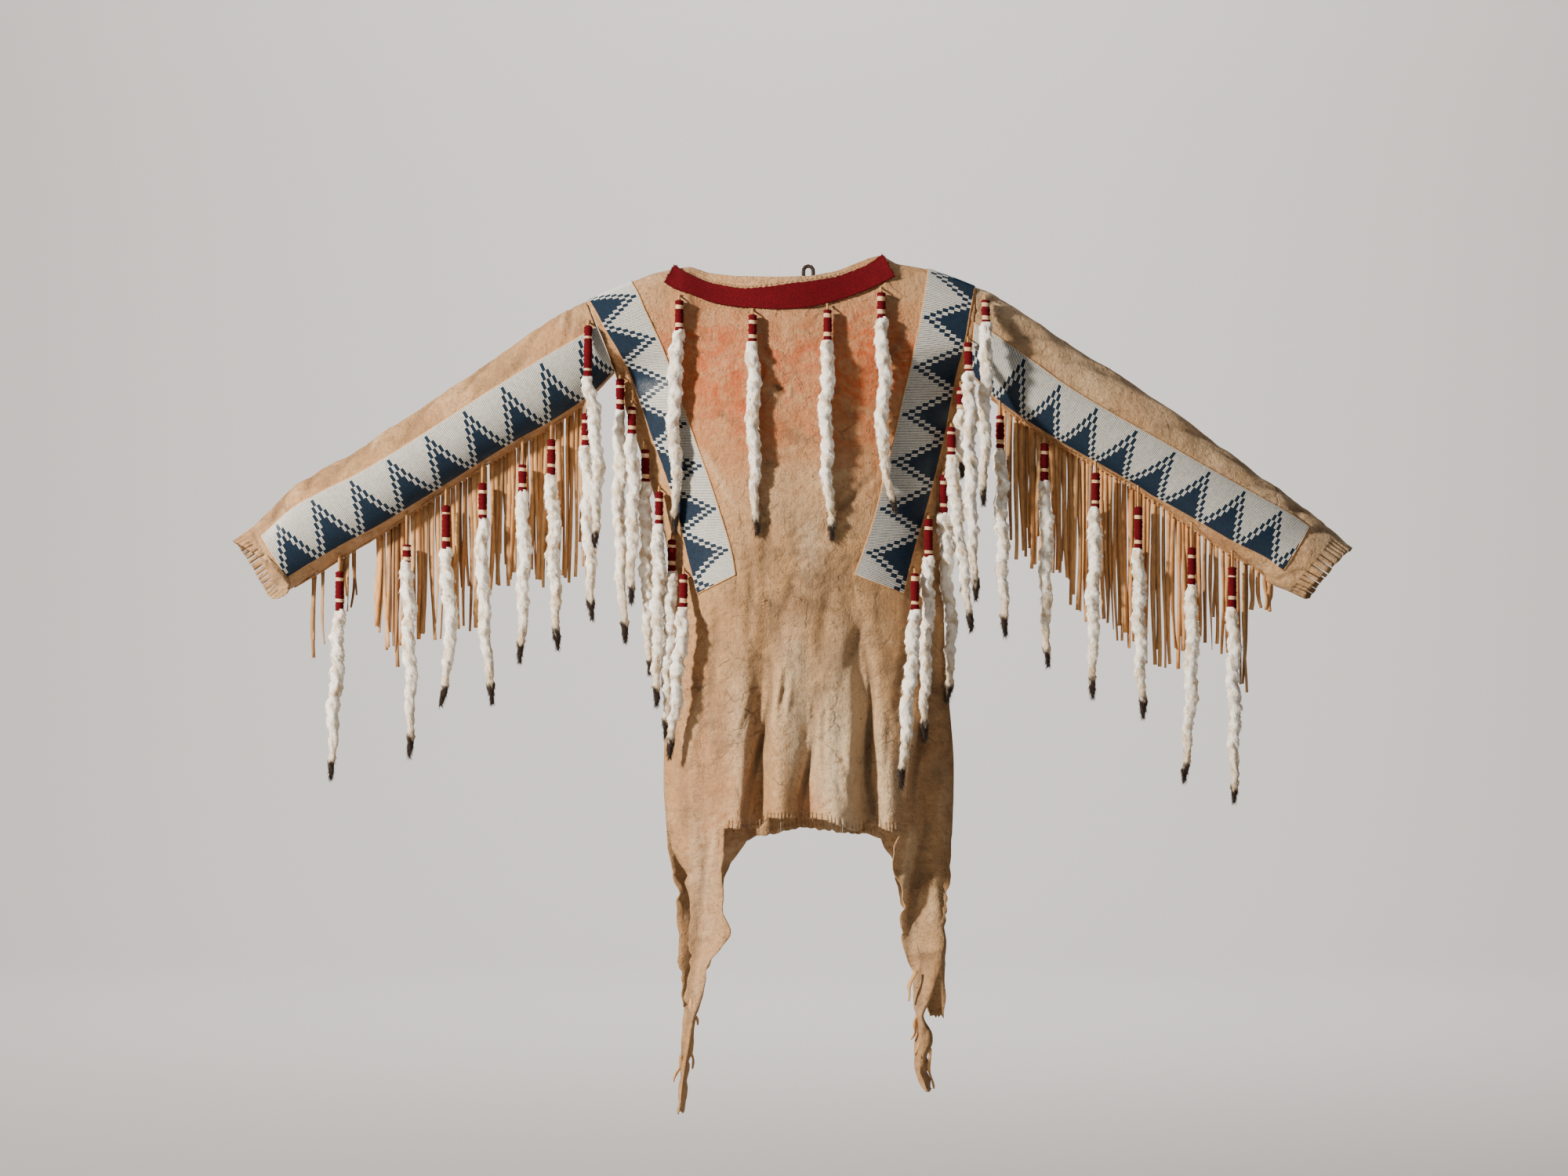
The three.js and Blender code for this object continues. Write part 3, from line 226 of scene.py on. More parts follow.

# Creases on the hides: x, down, angle in degrees from level, half length, half width,
# depth, negative for a ridge
CREASES = {
    "front": (
        (-39, 176, 14, 20, 3.5, 5.0), (-27, 180, 74, 11, 4, -4.0), (-48, 182, 60, 9, 3.5, -3.0),
        (-71, 690, 92.2, 120, 4.2, 9.0), (-2, 715, 90, 85, 3.8, 7.5), (86, 660, 81, 110, 4.2, 12.0),
        (62, 675, 82, 105, 12, -12.0),
        (162, 660, 89.6, 120, 4.2, 8.0), (50, 700, 50, 22, 3.4, 2.6), (56, 720, 47, 24, 3.4, 2.8),
        (61, 746, 52, 20, 3.4, 2.4), (43, 738, 56, 18, 3.4, 2.2), (-45, 610, 88, 45, 5, -3.4),
        (-28, 612, 86, 35, 5, -3.0), (-36, 606, 87, 38, 3.5, 2.6), (-50, 480, 24, 22, 3.5, 2.8),
        (-36, 492, -30, 18, 3.5, 2.2), (-88, 640, 96, 60, 4, 2.6), (20, 660, 80, 60, 4, 2.8),
        (-150, 330, 62, 70, 6, 3.0),
        (-128, 300, 50, 60, 7, -2.6), (60, 330, -58, 70, 6, 3.0), (40, 300, -40, 50, 8, -2.4),
        (-60, 400, 84, 60, 9, 3.2), (-82, 480, 80, 90, 7, 3.4), (-28, 470, 96, 70, 8, 2.6),
        (22, 500, 86, 80, 8, 3.2), (64, 540, 98, 80, 7, 3.0), (-135, 560, 84, 90, 7, 3.4),
        (-160, 640, 92, 90, 7, -3.2), (96, 470, 74, 60, 7, 2.8), (-110, 220, 20, 40, 7, 2.2),
        (80, 210, -22, 45, 7, 2.4), (0, 250, 4, 60, 8, 2.0), (-60, 280, -8, 50, 7, 2.0),
        (-190, 120, 70, 50, 7, 2.4), (120, 120, -74, 50, 7, 2.4), (-20, 410, 2, 60, 6, 1.8),
        (30, 440, -12, 45, 6, 1.8), (-70, 620, 88, 60, 6, 2.6), (5, 640, 92, 60, 6, 2.6),
        (135, 560, 88, 80, 6, 3.0), (150, 660, 84, 90, 7, -3.0), (-175, 760, 78, 60, 6, 3.0),
        (178, 740, 92, 60, 6, 3.0), (-100, 60, 12, 40, 6, 1.8), (20, 60, -6, 40, 6, 1.6),
        (158, 860, 90, 120, 6, 8.0), (141, 850, 88, 90, 8, -5.0), (177, 900, 92, 100, 6, -4.0),
        (-150, 880, 86, 100, 6, 5.0), (-165, 1000, 84, 80, 5, 4.0), (-176, 1100, 88, 70, 4, 3.5),
        (-140, 840, 90, 60, 6, -4.0), (160, 1010, 84, 70, 5, 4.0), (168, 1080, 94, 50, 4, 3.5),
        (-160, 910, 20, 26, 5, 2.4), (-150, 960, -30, 22, 5, 2.4), (150, 930, 30, 24, 5, 2.4),
        (170, 980, -24, 20, 4, 2.2), (-100, 745, 60, 24, 4, 2.2), (-6, 560, 12, 26, 4, 2.0),
        (24, 600, -20, 24, 4, 2.2), (-60, 560, 30, 22, 4, 2.0), (110, 690, 82, 70, 5, 3.0),
    ),
    "back": (
        (-100, 330, 60, 80, 7, 3.2), (70, 320, -58, 80, 7, 3.2), (-20, 200, 6, 90, 9, 2.6),
        (10, 120, -4, 80, 9, 2.4), (-60, 470, 84, 90, 8, 3.2), (40, 480, 95, 90, 8, 3.2),
        (-150, 560, 86, 100, 7, 3.2), (120, 580, 90, 100, 7, 3.2), (-10, 380, 88, 80, 9, 2.6),
        (-130, 200, 30, 60, 8, 2.4), (90, 210, -32, 60, 8, 2.4), (-90, 640, 88, 80, 7, -2.8),
        (80, 660, 88, 80, 7, -2.8), (0, 560, 90, 90, 8, -2.4), (-180, 700, 84, 80, 6, 3.0),
        (180, 700, 96, 80, 6, 3.0),
    ),
}


def table(rows, names):
    """The columns of a table by name."""
    return {name: np.array([row[i] for row in rows], dtype=float) for i, name in enumerate(names)}


HIDE = table(HIDE_ROWS, HIDE_COLUMNS)
TOP_X, TOP_Z = (np.array(values, dtype=float) for values in zip(*TOP_LINE))


def smooth_step(value):
    value = np.clip(value, 0.0, 1.0)
    return value * value * (3 - 2 * value)


def top_line(x):
    return np.interp(x, TOP_X, TOP_Z)


def hide_column(name, down):
    return np.interp(down, HIDE["down"], HIDE[name])


def side_depth(down):
    """How far a hide's edge stands off the middle plane, round the armhole and down the open side."""
    height = 1 - 2 * np.minimum(down, ARMHOLE_DROP) / ARMHOLE_DROP
    ring = ARMHOLE_HALF_DEPTH * np.sqrt(np.maximum(0, 1 - height * height))
    ring = np.maximum(ring, np.where(height > 0, SHOULDER_STAND_OFF, UNDERARM_STAND_OFF))
    return np.where(down >= ARMHOLE_DROP, hide_column("side", down), ring)


def fold_depth(side, x, down):
    """How far the hem's folds press a hide in at each point."""
    total = np.zeros_like(x + down)
    for hem_x, top_x, start, width, depth in FOLDS[side]:
        run = (down - start) / FOLD_FULL_LENGTH
        middle = top_x + (hem_x - top_x) * np.clip(run, 0, 1)
        total += depth * smooth_step(run) * np.exp(-(((x - middle) / width) ** 2))
    return total


def hide_depth(side, x, down):
    """Distance of a hide's outer face from the middle plane at a point of the front view."""
    left, right = hide_column("left", down), hide_column("right", down)
    across = np.clip((x - left) / (right - left), 0, 1)
    along = np.clip((x - NECK_LEFT) / (NECK_RIGHT - NECK_LEFT), 0, 1)
    wave = np.sin(np.pi * along)
    neck = np.maximum(wave, 0) * NECK_DEPTH[side]
    bulge = hide_column("bulge", down)
    upright = np.minimum(bulge, down * UPRIGHT_SLOPE)
    shape = bulge + (upright - bulge) * np.sqrt(np.maximum(wave, 0))
    centre = neck + shape * (1 - neck / FULL_BULGE)
    inward = np.abs(2 * across - 1) ** EDGE_SHARPNESS
    edge = side_depth(down)
    return centre + (edge - centre) * inward - fold_depth(side, x, down) * (1 - inward)


def height_of(x, down):
    """The height of a point so far down a hide; the top line's shape fades out at the armholes."""
    return -down + top_line(x) * np.maximum(0, 1 - down / ARMHOLE_DROP)


def outward_of(side):
    return -1 if side == "front" else 1


def sleeve_sections(which):
    names = ("top_x", "top_z", "foot_x", "foot_z", "depth", "strip_top", "strip_foot")
    return table(SLEEVE_SECTIONS[which], names)


def curve_read(values, place):
    """Reads a column at a fractional row number on a smooth curve through all its rows."""
    values = np.concatenate([[2 * values[0] - values[1]], values, [2 * values[-1] - values[-2]]])
    place = np.clip(place, 0, len(values) - 3 - 1e-9)
    row = np.floor(place).astype(int)
    t = place - row
    a, b, c, d = (values[row + k] for k in range(4))
    bend, twist = 2 * a - 5 * b + 4 * c - d, 3 * b - a - 3 * c + d
    return 0.5 * (2 * b + (c - a) * t + bend * t ** 2 + twist * t ** 3)


def sleeve_surface(which, place, angle):
    """Points of a sleeve: place is the section number, angle goes from the top round the front."""
    sections = sleeve_sections(which)
    top_x, top_z, foot_x, foot_z, depth = (
        curve_read(sections[name], place) for name in ("top_x", "top_z", "foot_x", "foot_z", "depth"))
    up_x, up_z = (top_x - foot_x) / 2, (top_z - foot_z) / 2
    length = np.hypot(up_x, up_z)
    outward = -1 if which == "left" else 1
    last = len(sections["depth"]) - 1
    degrees = np.degrees(angle)
    past = degrees - DEEPEST_CUT
    cut = np.where(past <= 0, smooth_step(degrees / DEEPEST_CUT), 1 - smooth_step(past / CUT_FADE))
    back = CUFF_CUTBACK[which] * cut * smooth_step(place - last + 1)
    x = (top_x + foot_x) / 2 + up_x * np.cos(angle) - outward * np.abs(up_z) / length * back
    z = (top_z + foot_z) / 2 + up_z * np.cos(angle) + np.abs(up_x) / length * back
    return np.stack([x, -depth * np.sin(angle), z], axis=-1)


def turn_normals(points, closed=False):
    """Unit normals of a grid of points, rows x columns."""
    if closed:
        across = np.roll(points, -1, axis=1) - np.roll(points, 1, axis=1)
    else:
        across = np.gradient(points, axis=1)
    normals = np.cross(np.gradient(points, axis=0), across)
    return normals / np.maximum(np.linalg.norm(normals, axis=-1, keepdims=True), 1e-9)


def resample(rows, places):
    """A smooth curve through rows of points, read at fractional row numbers."""
    return np.stack([
        np.stack([curve_read(rows[:, c, k], places) for k in range(3)], axis=-1)
        for c in range(rows.shape[1])
    ], axis=1)


def even_places(line, pitch, samples=4000):
    """Row numbers at an even pitch along a line of points, and the pitch that fits."""
    places = np.linspace(0, len(line) - 1, samples)
    path = np.stack([curve_read(line[:, k], places) for k in range(3)], axis=-1)
    run = np.concatenate([[0], np.cumsum(np.linalg.norm(np.diff(path, axis=0), axis=1))])
    count = max(2, round(run[-1] / pitch))
    even = np.linspace(0, run[-1], count + 1)
    return np.interp(even, run, places), run[-1] / count


def grid_faces(rows, columns, present=None, closed=False, start=0):
    """Four-cornered faces of a grid of points; present says which cells are there."""
    cells = columns if closed else columns - 1
    r, c = np.meshgrid(np.arange(rows - 1), np.arange(cells), indexing="ij")
    if present is None:
        keep = np.ones(r.shape, dtype=bool)
    else:
        keep = present
    r, c = r[keep], c[keep]
    after = (c + 1) % columns
    corners = [r * columns + c, r * columns + after, (r + 1) * columns + after, (r + 1) * columns + c]
    return np.stack(corners, axis=-1) + start


def tidy_mesh(points, faces, values):
    """Drops the points that no face uses."""
    used = np.unique(np.concatenate([part.ravel() for part in faces]))
    renumber = np.zeros(len(points), dtype=int)
    renumber[used] = np.arange(len(used))
    return points[used], [renumber[part] for part in faces], {name: v[used] for name, v in values.items()}


def make_piece(name, points, faces, materials, face_material=None, values=None, colours=None):
    """A mesh piece from points in millimetres. values are colours by point, colours by face."""
    faces = [np.asarray(part) for part in (faces if isinstance(faces, list) else [faces])]
    points, faces, values = tidy_mesh(np.asarray(points, dtype=float).reshape(-1, 3), faces, values or {})
    loops = np.concatenate([part.ravel() for part in faces])
    sizes = np.concatenate([np.full(len(part), part.shape[1]) for part in faces])
    mesh = bpy.data.meshes.new(name)
    mesh.vertices.add(len(points))
    mesh.vertices.foreach_set("co", (points * MM).ravel())
    mesh.loops.add(len(loops))
    mesh.loops.foreach_set("vertex_index", loops)
    mesh.polygons.add(len(sizes))
    mesh.polygons.foreach_set("loop_start", np.concatenate([[0], np.cumsum(sizes)[:-1]]))
    mesh.polygons.foreach_set("use_smooth", np.ones(len(sizes), dtype=bool))
    for material in materials:
        mesh.materials.append(material)
    if face_material is not None:
        mesh.polygons.foreach_set("material_index", np.asarray(face_material, dtype=int))
    mesh.update(calc_edges=True)
    for attribute, data in values.items():
        layer = mesh.color_attributes.new(attribute, "FLOAT_COLOR", "POINT")
        layer.data.foreach_set("color", with_alpha(data).ravel())
    for attribute, data in (colours or {}).items():
        layer = mesh.color_attributes.new(attribute, "FLOAT_COLOR", "CORNER")
        layer.data.foreach_set("color", np.repeat(with_alpha(data), sizes, axis=0).ravel())
    piece = bpy.data.objects.new(name, mesh)
    bpy.context.scene.collection.objects.link(piece)
    return piece


def with_alpha(data):
    return np.concatenate([np.asarray(data, dtype=float), np.ones((len(data), 1))], axis=1)


def thicken(piece, thickness):
    """Cloth as a thin shell whose outer face stays where it is."""
    shell = piece.modifiers.new("Thickness", "SOLIDIFY")
    shell.thickness = thickness * MM
    shell.offset = -1
    return piece


def finish_piece(piece, slot_name, *nodes):
    """Says what the piece rides on and which nodes it stands for; the slot name is not used."""
    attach(piece, BODY)
    if nodes:
        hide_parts(*nodes)
    return piece


def blots(table_rows, x, down):
    """How strongly a table's patches cover each point, whether stain, painted shade or painted highlight:
    soft patches, listed one by one.
    """
    total = np.zeros_like(x + down)
    for middle_x, middle_down, half_x, half_down, strength in table_rows:
        off_x, off_down = (x - middle_x) / half_x, (down - middle_down) / half_down
        total += strength * np.exp(-(off_x ** 2) - off_down ** 2)
    return np.minimum(total, 1.0)


# How much a crease bends, as a share of its half length, and how soon it fades towards its ends
CREASE_BEND, CREASE_FADE = 0.12, 1.6


def crease_depth(creases, x, down):
    """How deep the creases of a table press in at each point, negative on a ridge."""
    total = np.zeros_like(x + down)
    for middle_x, middle_down, angle, half_length, half_width, depth in creases:
        turn = math.radians(angle)
        along = (x - middle_x) * math.cos(turn) + (down - middle_down) * math.sin(turn)
        over = (down - middle_down) * math.cos(turn) - (x - middle_x) * math.sin(turn)
        over = over - CREASE_BEND * half_length * np.sin(along / half_length * 2)
        total += depth * np.exp(-((along / half_length) ** 2) * CREASE_FADE - (over / half_width) ** 2)
    return total


# Waves of a ripple, their lengths as shares of its size, and what their sum is divided by
CROSSED_WAVES, WAVE_SIZES, WAVE_SUM = 7, (0.6, 1.7), 4


def ripple(x, y, size, seed):
    """A smooth even wandering between about -1 and 1, from a few crossed waves."""
    source = random.Random(seed)
    total = np.zeros_like(x + y)
    for _ in range(CROSSED_WAVES):
        turn, shift = source.uniform(0, math.tau), source.uniform(0, math.tau)
        rate = math.tau / (size * source.uniform(*WAVE_SIZES))
        total += np.sin(rate * (x * math.cos(turn) + y * math.sin(turn)) + shift)
    return total / WAVE_SUM


# Columns of the hides: the side edges, the shoulder strips and the middle between them
COLUMN_MARKS = (0, 1, 4, 20, 23, 24)
LEFT_INNER, RIGHT_INNER, LAST_COLUMN = 4, 20, 24
TAB_COLUMNS = {"left": (0, LEFT_INNER), "right": (RIGHT_INNER, LAST_COLUMN)}
STRIP_COLUMNS = 3
STRIP_MIDDLES = (2.5, 21.5)
# The row of HIDE_ROWS at which the shoulder strips end
STRIP_ROW = 14
# On the back the hide between the tabs is narrower: from which level, over how far, and by how much
BACK_SHIFT = {"from": 620, "over": 170, "left": 30, "right": -22}


def rise_share(column):
    """How much of a row's rise a column takes: none at the sides, all between the strips."""
    return np.clip(np.minimum(column - 1, LAST_COLUMN - 1 - column) / STRIP_COLUMNS, 0, 1)


def hem_level(side, x):
    """How far down the hem lies at each x."""
    table_x, table_down = (np.array(v, dtype=float) for v in zip(*HEM[side]))
    return np.interp(x, table_x, table_down)


def hide_main_rows(side, columns):
    """Rows of points of a hide, one for each row of the table, the last one along the hem."""
    rows = []
    for index, row in enumerate(HIDE_ROWS):
        entry = dict(zip(HIDE_COLUMNS, row))
        share = 0
        if side == "back":
            share = smooth_step((entry["down"] - BACK_SHIFT["from"]) / BACK_SHIFT["over"])
        marks = [entry["left"], entry["outer_l"], entry["inner_l"] + BACK_SHIFT["left"] * share,
                 entry["inner_r"] + BACK_SHIFT["right"] * share, entry["outer_r"], entry["right"]]
        x = np.interp(columns, COLUMN_MARKS, marks)
        level = entry["down"] - entry["rise"] * rise_share(columns)
        if index == len(HIDE_ROWS) - 1:
            level = hem_level(side, x)
        depth = hide_depth(side, x, np.minimum(level, entry["down"]))
        rows.append(np.stack([x, outward_of(side) * depth, height_of(x, level)], axis=-1))
    return np.array(rows)


def hide_tab_rows(side, which, columns, hem_row):
    """Rows of points of a leg tab below the hem; hem_row is the part of the hem that it hangs from."""
    first, last = TAB_COLUMNS[which]
    ends = [np.interp(mark, columns, hem_row[:, 0]) for mark in (first, last)]
    share = (hem_row[:, 0] - ends[0]) / (ends[1] - ends[0])
    rows = []
    for down, left, right in TABS[(side, which)]:
        settle = smooth_step((down - HEM[side][0][1]) / TAB_SETTLE)
        curl = TAB_CURL * np.sin(np.pi * share + down / TAB_TWIST) * settle
        depth = np.abs(hem_row[:, 1]) * (1 - settle) + TAB_REST_DEPTH * settle + curl
        x = left + (right - left) * share
        rows.append(np.stack([x, outward_of(side) * depth, np.full_like(x, -down)], axis=-1))
    return np.array(rows)


def hide_columns_dense():
    """Column numbers of the finished hides: fine in the middle, finer under the strips."""
    marks = []
    for first, last, steps in ((0, 1, 2), (1, 4, 15), (4, 20, 92), (20, 23, 15), (23, 24, 2)):
        marks.append(np.linspace(first, last, steps, endpoint=False))
    return np.concatenate(marks + [[LAST_COLUMN]])


def fine_places(coarse, pitch):
    """Fractional row numbers through coarse rows, at most a pitch apart, every row among them."""
    gaps = np.linalg.norm(np.diff(coarse, axis=0), axis=-1).max(axis=1)
    parts = [index + np.linspace(0, 1, max(2, math.ceil(gap / pitch)), endpoint=False)
             for index, gap in enumerate(gaps)]
    return np.concatenate(parts + [[len(coarse) - 1]])


# The hem's slits: their length, their rows of cells, and the length of the table's last gap
HEM_SLIT, HEM_SLIT_ROWS = 12, 2
LAST_ROW_GAP = 47
# How far both edges of a slit are drawn together, as a share of its cell
SLIT_DRAWN = {"front": 0.28, "back": 0.44, "cuff": 0.26}
# The small tear towards the right end of the front hem: its middle and half its width
TORN_HEM_X, TORN_HEM_HALF = 84, 8
# Columns to each side of a strip's middle that lie flat under its beads
UNDER_STRIP = 1.62
HEM_SEEDS = {"front": 31, "back": 33}
TAB_SEEDS = {"left": 7, "right": 8}
# How much of the front's ochre, soil with its painted shade and pale wear with its painted highlights the
# back has
BACK_STAINS_AND_SHADING = (0.45, 0.8, 0.8)


def hide_places(main, sizes):
    """Row numbers of a finished hide, with two more rows in the strip that the hem's slits cut."""
    last = len(main) - 1
    slit = HEM_SLIT / LAST_ROW_GAP
    places = fine_places(main, sizes.hide_pitch)
    return np.concatenate([places[places < last - slit - 0.02], [last - slit, last - slit / 2, last]])


def flap_cuts(first, last, seed, least=2, most=3):
    """Cells of an edge where a slit is cut, two or three cells apart."""
    source = random.Random(seed)
    cuts = [first]
    while cuts[-1] + most < last:
        cuts.append(cuts[-1] + source.randint(least, most))
    return np.array(cuts)


def cut_flaps(rows, cuts, slit_rows, seed, outward, drawn, closed=False):
    """Draws an edge's slits narrow and curls the flaps between them; says which cells stay."""
    source = np.random.default_rng(seed)
    count = rows.shape[1]
    present = np.ones((len(rows) - 1, count if closed else count - 1), dtype=bool)
    present[-slit_rows:, cuts] = False
    flap = np.searchsorted(cuts, np.arange(count), side="left")
    share = (np.arange(1, slit_rows + 1) / slit_rows) ** 2
    curl = source.normal(0.5, 0.9, len(cuts) + 1)[flap]
    run = rows[-1] - rows[-2]
    longer = source.uniform(-0.45, 0.2, len(cuts) + 1)[flap]
    inside = (flap > 0) & (flap < len(cuts)) if not closed else np.ones(count, dtype=bool)
    rows[-slit_rows:] += outward * (share[:, None] * curl * inside)[..., None]
    rows[-1] += run * (longer * inside)[:, None]
    for cell in cuts:
        after = (cell + 1) % count
        gap = rows[-slit_rows - 1:, after] - rows[-slit_rows - 1:, cell]
        rows[-slit_rows - 1:, cell] += drawn * gap
        rows[-slit_rows - 1:, after] -= drawn * gap
    return present


def build_hide(side, sizes, material):
    """A hide and its two leg tabs as one cloth: cut hem, torn tabs, creases, ochre and dirt, and painted
    shade and highlight by its folds.
    """
    columns = hide_columns_dense()
    main = hide_main_rows(side, columns)
    rows = resample(main, hide_places(main, sizes))
    hem = rows[-1].copy()
    middle = np.where((columns > LEFT_INNER) & (columns < RIGHT_INNER))[0]
    cuts = flap_cuts(middle[1], middle[-1], HEM_SEEDS[side])
    outward = np.array((0.0, outward_of(side), 0.0))
    present = cut_flaps(rows, cuts, HEM_SLIT_ROWS, 35, outward, SLIT_DRAWN[side])
    if side == "front":
        torn = np.abs(rows[-1, :-1, 0] - TORN_HEM_X) < TORN_HEM_HALF
        present[-1, torn] = False
        present[-2, torn & (np.arange(len(torn)) % 3 == 0)] = False
    blocks, start = [rows], rows.shape[0] * rows.shape[1]
    faces = [grid_faces(len(rows), len(columns), present)]
    hem_start = start - len(columns)
    blocks_columns = [np.tile(columns, len(rows))]
    for which, (first, last) in TAB_COLUMNS.items():
        part = np.where((columns >= first - 1e-6) & (columns <= last + 1e-6))[0]
        tab = hide_tab_rows(side, which, columns, hem)[:, part]
        coarse = np.concatenate([hem[None, part], tab])
        fine = resample(coarse, fine_places(coarse, sizes.hide_pitch))
        fine = ragged_tab(fine, TAB_SEEDS[which])
        blocks.append(fine)
        blocks_columns.append(np.tile(columns[part], len(fine)))
        cells = grid_faces(len(fine), len(part), start=start)
        shared = cells < start + len(part)
        cells[shared] = hem_start + part[cells[shared] - start]
        faces.append(cells)
        start += fine.shape[0] * fine.shape[1]
    points = np.concatenate([block.reshape(-1, 3) for block in blocks])
    column_of = np.concatenate(blocks_columns)
    x, down = points[:, 0], -points[:, 2]
    off_strip = np.min([np.abs(column_of - middle) for middle in STRIP_MIDDLES], axis=0)
    over_strip = off_strip < UNDER_STRIP
    free = 1 - over_strip * (1 - smooth_step((down - STRIP_END - 8) / 30))
    free = free * smooth_step(down / 60)
    fine_wrinkle = 0.6 * ripple(x, down * 1.4, 17, 12) + 0.4 * ripple(x * 0.8, down, 9, 14)
    patches = np.clip(0.5 + 0.8 * ripple(x, down, 120, 15), 0.1, 1)
    lift = crease_depth(CREASES[side], x, down) + 0.9 * ripple(x, down * 0.5, 46, 11)
    lift = lift + fine_wrinkle * patches
    points[:, 1] -= outward_of(side) * lift * free
    flat_faces = np.concatenate(faces)
    if side == "front":
        flat_faces = flat_faces[:, ::-1]
    # Ochre, soil with painted shade, and pale wear with painted highlights, by point
    stains = np.stack([blots(OCHRE, x, down), blots(SOIL_AND_SHADE, x, down), blots(PALE_AND_HIGHLIGHT, x, down)], axis=-1)
    if side == "back":
        stains = stains * BACK_STAINS_AND_SHADING
    # How far each point is pressed in or stands up, kept for painted shade in the creases and a painted
    # highlight on the ridges
    creases = np.clip(lift / 3, -1, 1)
    values = {"stains": stains, "worn": np.stack([creases * 0.5 + 0.5, free, free], axis=-1)}
    piece = make_piece(f"hide_{side}_cloth", points, flat_faces, [material], values=values)
    thicken(piece, sizes.hide_thickness)
    return finish_piece(piece, "hide", f"hide_{side}")


def torn_edge(down, seed):
    """How far a torn edge strays outward at each depth: a slow wander with bites and points."""
    source = random.Random(seed)
    stray = 1.5 * ripple(down, down * 0, 61, seed)
    at = float(down.min()) + 12
    while at < down.max():
        reach, rise = source.uniform(5, 20), source.uniform(-6.5, 3.5)
        stray = stray + rise * np.clip(1 - np.abs(down - at) / reach, 0, 1)
        at += source.uniform(9, 38)
    return stray


def ragged_tab(rows, seed):
    """Tears a leg tab's edges and end a little."""
    count = rows.shape[1]
    across = np.linspace(-1, 1, count)
    down = -rows[:, :, 2]
    stray = np.where(across < 0, torn_edge(down, seed), torn_edge(down, seed + 11))
    stray = stray * smooth_step((down - down[0]) / 40)
    rows[:, :, 0] += np.abs(across) ** 3 * np.sign(across) * stray
    rows[-1, :, 2] += 9 * np.abs(ripple(rows[-1, :, 0], rows[-1, :, 0] * 0, 9, seed + 5))
    return rows


# Torn strips that hang from the leg tabs: x and down at the head and at the foot, width
RAGS = (
    (162, 1074, 152, 1120, 7), (166, 1090, 158, 1152, 6), (158, 1060, 146, 1098, 8),
    (170, 1110, 176, 1168, 5), (150, 1000, 140, 1044, 7), (-179, 1120, -190, 1158, 6),
    (-172, 1096, -163, 1140, 6), (-178, 1160, -184, 1200, 6), (-168, 1040, -158, 1078, 6),
)
RAG_POINTS, RAG_LIFT, RAG_THICKNESS = 14, 3, 1.3
# The mended seam of the front hide: x and down at both ends, stitches, and a stitch's length
SEAM = (-62.7, 474, -68.3, 547, 15)
STITCH_LENGTH = 4.4
# Stitches above the neck band: how many, how far above it, and half a stitch's length
MARGIN_STITCHES, MARGIN_ABOVE, MARGIN_STITCH_HALF = 46, 2.6, 1.7


def build_rags(material):
    """The torn strips at the ends of the front leg tabs."""
    heap = Heap()
    source = random.Random(141)
    for head_x, head_down, foot_x, foot_down, width in RAGS:
        levels = np.linspace(0, 1, RAG_POINTS)
        x = head_x + (foot_x - head_x) * levels + 2.2 * np.sin(levels * 7 + source.uniform(0, 6))
        y = -TAB_REST_DEPTH - RAG_LIFT + 3 * np.sin(levels * 5 + source.uniform(0, 6))
        line = np.stack([x, y, -head_down - (foot_down - head_down) * levels], axis=-1)
        widths = width * (1 - 0.55 * levels ** 2) * (1 + 0.2 * np.sin(levels * 13 + source.uniform(0, 6)))
        turns = source.uniform(-0.4, 0.4) + 1.6 * levels * source.uniform(-1, 1)
        heap.add(ribbon(line, widths, RAG_THICKNESS, turns), value=(0.7, 0.3, 0))
    return finish_piece(heap.make("tab_rags", [material], "tone"), "thong")


def build_stitches(material):
    """The mended seam's stitches, and those along the leather margin above the neck band."""
    heap = Heap()
    source = random.Random(143)
    head_x, head_down, foot_x, foot_down, count = SEAM
    for share in np.linspace(0, 1, count):
        x, down = head_x + (foot_x - head_x) * share, head_down + (foot_down - head_down) * share
        slant = source.uniform(-0.8, 0.8)
        ends = np.array([x - STITCH_LENGTH / 2, x, x + STITCH_LENGTH / 2])
        levels = -down + np.array([-slant, 0, slant])
        line = on_front(ends, levels, np.array([0.2, 1.1, 0.2]))
        heap.add(rope(line, np.array([0.5, 0.75, 0.5])), value=(0.9, 0.2, 0))
    table_x, table_z = (np.array(values, dtype=float) for values in zip(*BAND_TOP[1:-1]))
    for share in np.linspace(0.02, 0.98, MARGIN_STITCHES):
        place = np.array([share * (len(table_x) - 1)])
        x, z = curve_read(table_x, place), curve_read(table_z, place) + MARGIN_ABOVE
        ends = np.concatenate([x - MARGIN_STITCH_HALF, x, x + MARGIN_STITCH_HALF])
        line = on_front(ends, np.repeat(z, 3) + np.array([0, 0.2, 0.3]), np.array([0.1, 0.7, 0.1]))
        heap.add(rope(line, np.array([0.4, 0.6, 0.4])), value=(0.1, 1.0, 0))
    return finish_piece(heap.make("hide_stitches", [material], "tone"), "thong")


